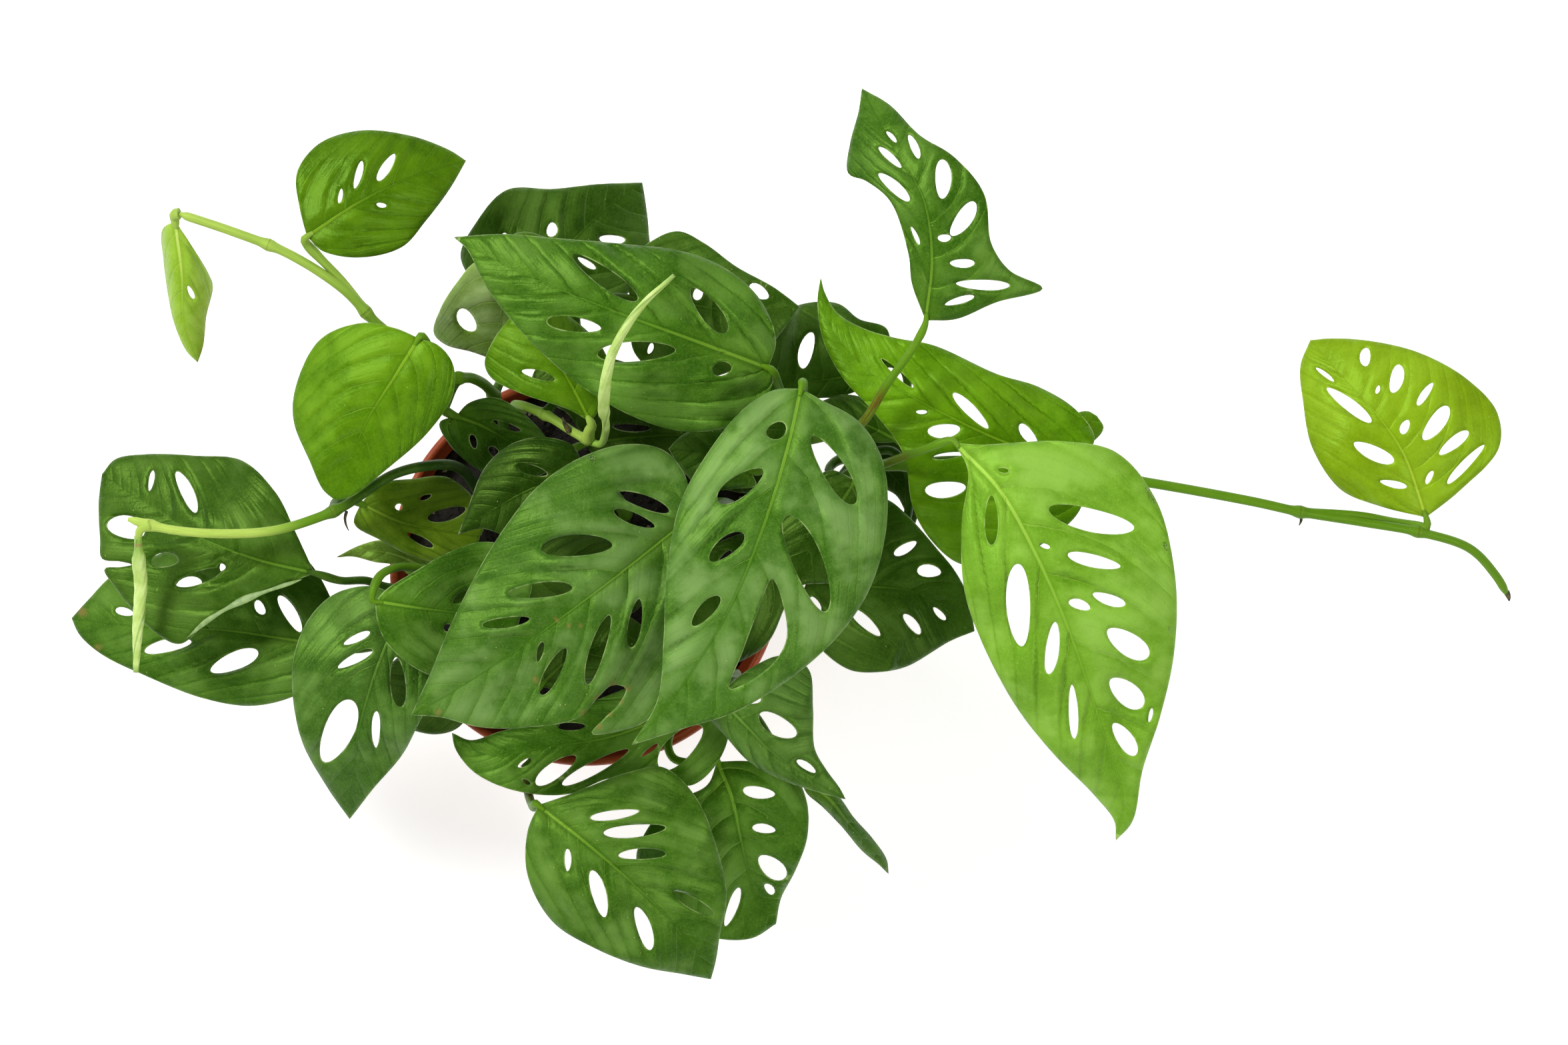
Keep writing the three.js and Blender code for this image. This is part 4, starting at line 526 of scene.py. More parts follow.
        "one": [[-60, -6.2], [-51, -0.5], [-41.4, 5], [-30.4, 8.4], [-22, 6], [-16, -4]],
        "two": [[-62.5, -15], [-60, -21.4], [-52.3, -28.8], [-42, -33], [-30, -30], [-21, -23]],
        "holes": [[-37, -8, 7, 3, 38], [-41, -17.5, 3, 2.5, 0]]},
    "mid_left_leaf": {"tone": "deep", "light": 0.62, "lift": [-3, -3],
        "rib": [[0, 27, 160], [-14, 25, 160], [-26, 19, 157], [-38.3, 10.7, 152]],
        "one": [[-3, 37], [-12, 40], [-22, 38], [-30, 31], [-34, 22], [-36.5, 15]],
        "two": [[-2, 16], [-10, 10], [-20, 9], [-31, 12.5]],
        "holes": [[-15.5, 30, 9, 3, -15]]},
    "pot_west_leaf": {"tone": "mid", "light": 0.75, "lift": [-2, -3],
        "rib": [[-39, 46.5, 146], [-30, 43, 148], [-20, 37, 146], [-10, 30, 142]],
        "one": [[-35, 50.5], [-27, 52], [-19, 47.5], [-12, 40]],
        "two": [[-44, 44.5], [-41, 38], [-36, 33], [-30.5, 29.5], [-20, 27]],
        "holes": [[-33.8, 38.8, 4.5, 2.2, -75], [-27.5, 35.5, 4.5, 2.6, -50], [-23.5, 43.6, 9, 2, -20]]},
    "inner_olive_leaf": {"tone": "olive", "light": 1.25, "lift": [-3, -3],
        "rib": [[-68, 20, 140], [-56, 14.5, 142], [-45, 12, 140], [-32, 10, 136]],
        "one": [[-62, 26], [-52, 27.5], [-42, 28], [-34, 22], [-30, 15]],
        "two": [[-70, 14], [-62, 9], [-52, 4], [-42, 2], [-34, 4]],
        "holes": [[-56.5, 19, 2.4, 2.2, 0], [-48.5, 22, 4, 1.6, 20], [-42, 17, 12, 4, 15],
            [-50, 9, 9, 2.4, -28]]},
    "inner_pale_leaf": {"tone": "grey", "slot": "leaf_green", "light": 1.1, "lift": [2, 1],
        "rib": [[-48, 0, 121], [-58, 4.5, 123], [-67, 5.6, 122], [-76, 3.7, 119]],
        "one": [[-48, 5.5], [-55, 8.6], [-62, 9], [-69, 7.2]],
        "two": [[-51, -3], [-58, 1.4], [-64, 2.3], [-71, 4]]},
}


# Sizes that all blades share, in millimetres or as shares. Swells have a height and a size in plan. A vein's
# habit is its lean, how much more it leans towards the tip, and its bend. It is fitted to each blade's slots,
# and pull says how firmly each of the three keeps to the usual one.
bladeShape = {"thickness": 0.7, "grid": 1.15, "jitter": 0.12, "quilt": 1.3, "crest": 0.84, "unevenSize": 24,
              "swell": (1.2, 30), "fineSwell": (0.09, 9), "marginWave": (0.9, 5.2), "ribTrough": (1.0, 1.9),
              "edgeDroop": (0.3, 0.9), "cord": (0.75, 0.95), "probe": 0.35, "rimBulge": 0.1,
              "habit": (0.3, 0.8, 0.95), "pull": (1.2, 1.2, 2.5), "sweep": 0.55, "nearVeins": 0.42}


def slotLoop(slot):  # [centre x, centre y, length, width, degrees] or its own outline
    if isinstance(slot[0], list):
        fine = splineAt(slot + slot[:3], np.linspace(0, 1, 20 * len(slot) + 41))
        return fine[20:20 * len(slot) + 20:2][:, :2]
    x, y, long, wide, degrees = slot
    t = np.linspace(0, 2 * math.pi, max(14, int(long * 2)), endpoint=False)
    ahead, aside = long / 2 * np.cos(t), wide / 2 * np.sin(t) * (1 + 0.16 * np.cos(t + x))
    return np.stack(turnedBy(degrees, x, y, ahead, aside), 1)


def bladeForm(name, leaf):
    rib = smoothLine(leaf["rib"], lengthOf(np.array(leaf["rib"], float)) / 110)
    tips = [leaf["rib"][0][:2], leaf["rib"][-1][:2]]
    margins = [smoothLine([tips[0]] + leaf[key] + [tips[1]], 1.0) for key in ("one", "two")]
    outline = np.vstack([margins[0], margins[1][1:-1][::-1]])
    sideOne = footOn(rib, margins[0][len(margins[0]) // 2][None])[1][0]
    far, side, _, _ = footOn(rib, outline)
    length = lengthOf(rib[:, :2])
    form = {"name": name, "leaf": leaf, "rib": rib, "outline": outline, "sideOne": sideOne, "length": length,
            "reach": {s: max(4.0, far[side == s].max()) for s in (-1.0, 1.0)}, "small": min(1.0, length / 60),
            "slots": [slotLoop(s) for s in leaf.get("holes", [])], "seed": sum(map(ord, name)),
            "spacing": 3.4 + 0.105 * length}
    form["veins"] = {s: fitVeins(form, s) for s in (-1.0, 1.0)}
    return form


def ribPlace(form, spots):  # distance from the rib, side, height, and how far along it in mm
    rib = form["rib"]
    far, side, height, run = footOn(rib, spots)
    along = run / (len(rib) - 1) * form["length"]
    start = rib[1, :2] - rib[0, :2]
    start = start / np.linalg.norm(start)
    rel = spots - rib[0, :2]
    behind = run <= 0
    along = np.where(behind, rel @ start, along)
    wide = np.where(behind, np.abs(rel[:, 0] * start[1] - rel[:, 1] * start[0]), far)
    return far, wide, side, height, along


def veinRun(form, along, wide, reach, habit):  # where on the rib the vein through a spot starts
    lean, gain, bend = habit
    sweep = bend * wide**2 / reach + bladeShape["sweep"] * wide**4 / reach**3
    run = (along - lean * wide - sweep) / (1 + gain * wide / form["length"])
    return np.where(run < 0, run / (1.06 - np.exp(-wide / 7)), run)


def slotSlopes(form, side):  # for each slot of that side: place along, distance out, slope and weight
    rows = []
    for loop in form["slots"]:
        middle = loop.mean(0)
        spread = loop - middle
        size, turn = np.linalg.eigh(spread.T @ spread)
        axis = turn[:, 1] * min(4.0, math.sqrt(size[1] / len(loop)))
        _, wide, sides, _, along = ribPlace(form, np.stack([middle, middle - axis, middle + axis]))
        if (sides == side).all():
            out = wide[2] - wide[1]
            slope = (along[2] - along[1]) / (out if abs(out) > 0.3 else 0.3)
            weight = min(3.0, math.sqrt(size[1] / max(size[0], 1e-3)) - 1) if along[0] > 0 else 0.2
            rows.append((along[0], wide[0], np.clip(slope, -0.6, 2.6), weight))
    return rows


def fitVeins(form, side):  # veins run with the slots and pass between them
    reach, length, spacing = form["reach"][side], form["length"], form["spacing"]
    habit = usual = np.array(bladeShape["habit"])
    rows = slotSlopes(form, side)
    for _ in range(3 if rows else 0):
        sums = np.diag(bladeShape["pull"])
        goal = sums @ usual
        for along, wide, slope, weight in rows:
            start = veinRun(form, along, wide, reach, habit)
            row = np.array([1, max(0.0, float(start)) / length, 2 * wide / reach])
            sums = sums + weight * np.outer(row, row)
            goal = goal + weight * slope * row
        habit = np.linalg.solve(sums, goal)
    groups = []
    for mark in sorted(float(veinRun(form, row[0], row[1], reach, habit)) for row in rows):
        if groups and mark - groups[-1][-1] < bladeShape["nearVeins"] * spacing:
            groups[-1].append(mark)
        else:
            groups.append([mark])
    spots = [sum(g) / len(g) for g in groups] or [0.35 * length]
    stops = []
    for a, b in zip(spots[:-1], spots[1:]):
        parts = max(1, round((b - a) / spacing))
        stops += [a + (b - a) * (k + 0.5) / parts for k in range(parts)]
    first, last = spots[0] - spacing / 2, spots[-1] + spacing / 2
    before = [first - spacing * k for k in range(int((first + 60) / spacing), -1, -1)]
    after = [last + spacing * 0.92 * k for k in range(int((length + 30 - last) / spacing) + 1)]
    return {"habit": habit, "stops": np.array(before + stops + after)}


def veinField(form, along, wide, side):  # counts the veins; a whole number is on one
    veins = form["veins"][side]
    stops = veins["stops"]
    run = veinRun(form, along, wide, form["reach"][side], veins["habit"])
    count = np.interp(run, stops, np.arange(len(stops)))
    gaps = np.diff(stops)
    return count, gaps[np.clip(count.astype(int), 0, len(gaps) - 1)]


def relief(form, spots):  # height of the blade's middle sheet with its pleats and swells
    leaf, shape, small, seed = form["leaf"], bladeShape, form["small"], form["seed"]
    x, y = spots[:, 0], spots[:, 1]
    far, wide, side, height, along = ribPlace(form, spots)
    first = side == form["sideOne"]
    share = far / np.where(first, form["reach"][form["sideOne"]], form["reach"][-form["sideOne"]])
    z = height + np.where(first, *leaf["lift"]) * share**2
    quilt = np.zeros(len(spots))
    for s in (-1.0, 1.0):
        count, gap = veinField(form, along, wide, s)
        part, crest = (count - 0.05) % 1, shape["crest"]
        rise = np.sin(math.pi / 2 * np.minimum(part / crest, 1)) ** 1.15
        fall = np.cos(math.pi / 2 * np.clip((part - crest) / (1 - crest), 0, 1)) ** 2
        pleat = np.where(part < crest, rise, fall) - 0.6
        quilt = np.where(side == s, pleat * np.minimum(gap, 16) / 14, quilt)
    calm = (step(wide, 0.5, 6.5) * (1 - 0.85 * step(share, 0.5, 0.95))
            * (1 - 0.6 * step(along / form["length"], 0.5, 0.9)))
    uneven = 0.7 + 0.6 * waves(x, y, shape["unevenSize"], seed + 3)
    z = z + shape["quilt"] * leaf.get("quilt", 1) * small * quilt * calm * uneven
    (swell, size), (fine, fineSize), (wave, pitch) = shape["swell"], shape["fineSwell"], shape["marginWave"]
    z = z + swell * small * waves(x, y, size, seed) * step(wide, 0, 10)
    z = z + fine * waves(x, y, fineSize, seed + 9) * step(wide, 1, 5)
    z = z + wave * small * np.sin(along / pitch + seed) * share**3
    taper = 1 - 0.75 * np.clip(along / form["length"], 0, 1)
    deep, width = shape["ribTrough"]
    return z - deep * small * taper * np.exp(-(far / width) ** 2)


def bladeMesh(form):  # points and triangles of the blade in plan
    rib, outline, slots, grid = form["rib"], form["outline"], form["slots"], bladeShape["grid"]
    low, high = outline.min(0), outline.max(0)
    across, down = np.meshgrid(np.arange(low[0], high[0], grid), np.arange(low[1], high[1], grid * 0.866))
    across = across + (np.arange(across.shape[0]) % 2 * grid / 2)[:, None]
    inner = np.stack([across.ravel(), down.ravel()], 1)
    jitter = bladeShape["jitter"]
    inner = inner + np.random.default_rng(form["seed"]).uniform(-jitter, jitter, inner.shape) * grid
    plan = smoothLine(rib[:, :2], 0.8)[1:-1]
    beside = np.vstack([plan + s * 0.75 * headings(plan)[:, ::-1] * np.array([-1, 1]) for s in (-1, 1)])
    loops = [outline] + slots

    def clear(spots, room):
        keep = insideLoop(spots, outline) & (distanceTo(outline, spots) > room)
        for loop in slots:
            near = (np.abs(spots - loop.mean(0)) < np.ptp(loop, axis=0) / 2 + 2).all(1)
            if near.any():
                keep[near] &= ~insideLoop(spots[near], loop) & (distanceTo(loop, spots[near]) > room)
        return spots[keep]

    inner = clear(inner, 0.45 * grid)
    inner = inner[footOn(rib, inner)[0] > 1.25]
    edges, start = [], 0
    for loop in loops:
        edges += [(start + k, start + (k + 1) % len(loop)) for k in range(len(loop))]
        start += len(loop)
    spots = [Vector(p) for p in np.vstack(loops + [clear(plan, 0.35), clear(beside, 0.4), inner])]
    flat, _, faces, *_ = delaunay_2d_cdt(spots, edges, [], 0, 1e-5)
    flat, faces = np.array([tuple(v) for v in flat]), np.array(faces)
    centres = flat[faces].mean(1)
    keep = insideLoop(centres, outline)
    for loop in slots:
        keep &= ~insideLoop(centres, loop)
    faces = faces[keep]
    a, b, c = flat[faces[:, 0]], flat[faces[:, 1]], flat[faces[:, 2]]
    turned = (b[:, 0] - a[:, 0]) * (c[:, 1] - a[:, 1]) - (b[:, 1] - a[:, 1]) * (c[:, 0] - a[:, 0]) < 0
    faces[turned] = faces[turned][:, ::-1]
    used = np.unique(faces)
    order = np.full(len(flat), -1)
    order[used] = np.arange(len(used))
    return flat[used], order[faces]


def storeVeins(mesh, owner, wideSide, counts):  # a UV map whose values are the vein count and spacing
    starts, totals = np.zeros((2, len(mesh.polygons)), int)
    corners = np.zeros(len(mesh.loops), int)
    mesh.loops.foreach_get("vertex_index", corners)
    mesh.polygons.foreach_get("loop_start", starts)
    mesh.polygons.foreach_get("loop_total", totals)
    owner = owner[corners]
    left = np.repeat(np.add.reduceat(wideSide[owner], starts) >= 0, totals)
    values = np.stack([np.where(left, counts[1.0][k][owner], counts[-1.0][k][owner]) for k in (0, 1)], 1)
    mesh.uv_layers.new(name="veins").uv.foreach_set("vector", values.astype(np.float32).ravel())


def makeBlade(form, material):
    name, leaf, shape, small = form["name"], form["leaf"], bladeShape, form["small"]
    flat, faces = bladeMesh(form)
    n = len(flat)
    edge = np.min([distanceTo(loop, flat) for loop in [form["outline"]] + form["slots"]], axis=0)
    far, wide, side, _, along = ribPlace(form, flat)
    tip = np.clip(along / form["length"], 0, 1)
    h, (droop, reach), (high, width) = shape["probe"], shape["edgeDroop"], shape["cord"]
    z = relief(form, flat) - droop * np.exp(-edge / reach)
    slopes = [(relief(form, flat - d) - relief(form, flat + d)) / (2 * h) for d in np.diag([h, h])]
    normal = np.stack([*slopes, np.ones(n)], 1)
    normal = normal / np.linalg.norm(normal, axis=1)[:, None]
    thick = shape["thickness"] * (0.5 + 0.5 * step(edge, 0, 1.1))
    cord = high * (1 - 0.7 * tip) * np.exp(-(far / width) ** 2) * step(edge, 0, 1.5) * small
    middle = np.column_stack([flat, z])
    top = middle + normal * (thick / 2)[:, None]
    under = middle - normal * (thick / 2 + cord)[:, None]
    directed = {(int(f[k]), int(f[(k + 1) % 3])) for f in faces for k in range(3)}
    rim = [(p, q) for p, q in directed if (q, p) not in directed]
    out = np.zeros((n, 2))
    for p, q in rim:
        d = flat[q] - flat[p]
        for end in (p, q):
            out[end] += np.array([d[1], -d[0]]) / max(np.linalg.norm(d), 1e-9)
    rimSpots = sorted({p for pair in rim for p in pair})
    place = {p: 2 * n + k for k, p in enumerate(rimSpots)}
    out = out[rimSpots]
    out = out / np.maximum(np.linalg.norm(out, axis=1), 1e-9)[:, None]
    bulge = np.column_stack([out * shape["rimBulge"], np.zeros(len(out))])
    belt = (top[rimSpots] + under[rimSpots]) / 2 + bulge
    skin = faces.tolist() + (faces[:, ::-1] + n).tolist()
    for p, q in rim:
        skin += [(p + n, q + n, place[q], place[p]), (place[p], place[q], q, p)]
    mesh = meshFrom(name, np.vstack([top, under, belt]), skin)
    brown = np.zeros(n)
    for x, y, size, strength in leaf.get("marks", []):
        gone = np.hypot(flat[:, 0] - x, flat[:, 1] - y)
        brown = np.maximum(brown, strength * (1 - step(gone, size * 0.4, size * 0.9)))
    owner = np.concatenate([np.arange(n), np.arange(n), np.array(rimSpots)])
    face = np.repeat([0, 1, 0.5], [n, n, len(rimSpots)])
    store(mesh, edge=np.where(face == 0.5, 0, edge[owner]), across=(far * side)[owner], tip=tip[owner],
          under=face, brown=brown[owner])
    storeVeins(mesh, owner, far * side, {s: veinField(form, along, wide, s) for s in (-1.0, 1.0)})
    asPiece(name.replace("_leaf", "_blade"), mesh, material, leaf.get("slot", tones[leaf["tone"]][0]), name)


# Tones of the foliage: slot, then lit green, deep green that also paints shade, rib, underside and the pale
# painted sheen on top.
tones = {
    "deep": ("leaf_dark", (48, 84, 8), (28, 60, 3), (92, 130, 36), (84, 114, 50), (84, 112, 48)),
    "mid": ("leaf_green", (62, 106, 8), (32, 74, 2), (112, 152, 44), (98, 134, 56), (106, 140, 66)),
    "misty": ("leaf_green", (62, 106, 14), (36, 80, 4), (112, 152, 44), (98, 134, 56), (112, 144, 80)),
    "blue": ("leaf_green", (66, 106, 30), (38, 76, 12), (104, 142, 56), (100, 134, 76), (110, 144, 72)),
    "fresh": ("leaf_bright", (114, 162, 38), (88, 136, 18), (158, 196, 76), (140, 176, 84), (136, 178, 74)),
    "yellow": ("leaf_bright", (92, 140, 3), (60, 104, 0), (136, 176, 36), (120, 158, 46), (116, 158, 34)),
    "lemon": ("leaf_bright", (128, 166, 14), (108, 140, 6), (170, 198, 60), (146, 172, 64), (144, 174, 44)),
    "olive": ("leaf_bright", (88, 116, 14), (50, 78, 4), (116, 142, 40), (100, 126, 48), (108, 132, 42)),
    "grey": ("leaf_bright", (98, 126, 40), (74, 102, 20), (150, 176, 92), (126, 154, 86), (148, 170, 108)),
    "pale": ("leaf_bright", (140, 178, 44), (118, 156, 24), (186, 208, 104), (156, 184, 92), (166, 192, 92)),
}
leafColours = ("Leaf", "Deep", "Rib", "Back", "Painted Sheen Colour")
leafNumbers = {"Painted Sheen": 0.45, "Rib Width": 1.1, "Vein Strength": 1.0, "Gloss": 0.36}


def makeLeafPattern():  # veins, painted sheen and shade, rim, mottling and specks of a blade
    wanted = {**{label: "Color" for label in leafColours}, **{label: "Float" for label in leafNumbers}}
    tree, w, into, out = newGroup("leafPattern", "ShaderNodeTree", wanted,
                                  {"Colour": "Color", "Roughness": "Float", "Height": "Float"})
    leaf, deep, rib, back, paintedSheen = (into[label] for label in leafColours)
    spot = w.spot()
    field = w.add("ShaderNodeSeparateXYZ", {0: w.add("ShaderNodeUVMap", uv_map="veins").outputs[0]}).outputs
    edge, tip, under, brown = (w.reading(name) for name in ("edge", "tip", "under", "brown"))
    far = w.calc("ABSOLUTE", w.reading("across"))
    broad, middle, grain = w.noise(spot, 21, 3, 0.55), w.noise(spot, 5, 3, 0.6), w.noise(spot, 0.6, 2, 0.6)

    def nearest(part):  # distance in millimetres to the nearest whole count
        return w.times(w.calc("MINIMUM", part, w.calc("SUBTRACT", 1.0, part)), field["Y"])

    # Side veins: a thin pale line, a soft furrow, and the shade past each pleat's crest.
    count = w.calc("MULTIPLY_ADD", w.noise(spot, 6, 2), 0.16, w.calc("SUBTRACT", field["X"], 0.08))
    part = w.calc("FRACT", count)
    near = nearest(part)
    fade = w.times(w.ramp(far, 0.8, 30.0, 1.0, 0.2), w.ramp(tip, 0.4, 0.95, 1.0, 0.45), into["Vein Strength"],
                   w.ramp(w.noise(spot, 11, 2), 0.35, 0.6, 0.35, 1.0))
    thin = w.times(w.ramp(near, 0.0, 0.4, 1.0, 0.0), fade)
    soft = w.times(w.ramp(near, 0.0, 2.4, 1.0, 0.0), fade)
    past = w.times(w.ramp(w.times(part, field["Y"]), 0.1, 3.6, 1.0, 0.0), fade)
    minor = w.ramp(nearest(w.calc("FRACT", w.times(count, 3.0))), 0.0, 2.4, 1.0, 0.0)
    net = w.ramp(w.cells(spot, 1.5, feature="DISTANCE_TO_EDGE")[0], 0.0, 0.16, 1.0, 0.0)
    # The midrib's cord and the light beside it.
    ribShare = w.calc("DIVIDE", far, w.times(into["Rib Width"], w.ramp(tip, 0.0, 0.8, 0.5, 0.12)))
    cord = w.times(w.ramp(ribShare, 0.5, 1.2, 1.0, 0.0), w.ramp(tip, 0.0, 0.65, 1.0, 0.15))
    glow = w.times(w.ramp(far, 0.0, 6.0, 1.0, 0.0), w.ramp(tip, -0.05, 0.4, 0.24, 0.0))
    # Painted sheen lies in broad soft patches, most on the flank of each pleat.
    patch = w.ramp(w.total(broad, (middle, 0.18)), 0.49, 0.71)
    flank = w.times(w.ramp(part, 0.08, 0.5), w.ramp(part, 0.8, 1.0, 1.0, 0.2))
    paintedSheenMask = w.times(w.total(0.15, (patch, 0.85)), w.total(0.65, (flank, 0.35)),
                   w.ramp(edge, 0.3, 4.0, 0.6, 1.0), w.ramp(far, 0.5, 6.0, 0.45, 1.0), into["Painted Sheen"])
    tone = w.total(w.times(w.ramp(middle, 0.3, 0.7), 0.4), (w.ramp(broad, 0.35, 0.65), 0.6))
    flecks = w.cells(spot, 3.4)
    chance = w.add("ShaderNodeSeparateColor", {0: flecks["Color"]}).outputs[0]
    fleck = w.times(w.ramp(flecks["Distance"], 0.03, 0.08, 1.0, 0.0),
                    w.ramp(w.calc("FRACT", w.times(chance, 7.3)), 0.55, 0.6))
    rim = w.times(w.ramp(edge, 0.0, 0.26, 1.0, 0.0), w.ramp(middle, 0.42, 0.64, 0.04, 0.6))
    scar = w.times(brown, w.ramp(middle, 0.25, 0.6, 0.6, 1.0))
    backTone = w.coats(back, (w.times(soft, 0.4), rib), (w.times(cord, 0.8), rib))
    # Colour: deep green paints shade past each pleat's crest, a little along the minor veins and in the
    # trough beside the rib; the painted sheen colour goes on by its mask and as a fine grain.
    colour = w.coats(deep, (tone, leaf), (paintedSheenMask, paintedSheen), (w.times(past, 0.72), deep),
                     (w.times(minor, 0.07), deep), (w.times(net, 0.07), rib), (w.times(thin, 0.27), rib),
                     (w.times(w.ramp(grain, 0.45, 0.75), 0.22), paintedSheen), (glow, rib),
                     (w.ramp(ribShare, 1.2, 3.4, 0.5, 0.0), deep), (w.times(cord, 0.8), rib),
                     (w.ramp(under, 0.3, 0.9), backTone), (w.times(fleck, 0.35), paint(190, 205, 120)),
                     (rim, w.mix(0.5, rib, paint(200, 212, 156))), (scar, paint(128, 104, 58)))
    w.put(colour, out["Colour"])
    w.put(w.total(into["Gloss"], (paintedSheenMask, 0.12), (w.ramp(middle, 0.3, 0.7), 0.05), (under, 0.14), (scar, 0.25)),
          out["Roughness"])
    w.put(w.total(0.0, (thin, -0.12), (soft, -0.22), (minor, -0.03), (net, -0.012), (cord, 0.16),
                  (middle, 0.2), (grain, 0.04)), out["Height"])
    return tree


leafPattern = makeLeafPattern()


def makeLeafSkin(name, leaf):
    colours = [lit(paint(*colour), leaf.get("light", 1.0)) for colour in tones[leaf["tone"]][1:]]
    values = {**dict(zip(leafColours, colours)), **leafNumbers}
    for key, label in (("paintedSheen", "Painted Sheen"), ("ribWidth", "Rib Width"), ("veinStrength", "Vein Strength")):
        values[label] = leaf.get(key, values[label])
    material, w, skin = newMaterial(name + "Skin", colours[0], IOR=1.41, Specular_Tint=(0.55, 1.0, 0.15, 1.0))
    pattern = w.add("ShaderNodeGroup", node_tree=leafPattern)
    for label, value in values.items():
        w.put(value, pattern.inputs[label])
    w.dress(skin, *pattern.outputs)
    return material


# Stems: radii in millimetres. Rings are the swollen joints that the leaf stalks grow from. A stalk thins at
# its end, more where it carries a blade, and swells at the neck just before it.
stemShape = {"stem": 1.8, "taper": 0.25, "tip": 0.55, "ring": 0.42, "ringLength": 1.9, "ringReach": 2.5,
             "stalk": 1.4, "stalkTaper": 0.1, "thinEnd": (0.3, 0.42), "neck": 0.28, "neckAt": 6.0,
             "neckLength": 3.2, "sides": 14, "spacing": 1.1}
soilTop, stemFoot = 98, 72

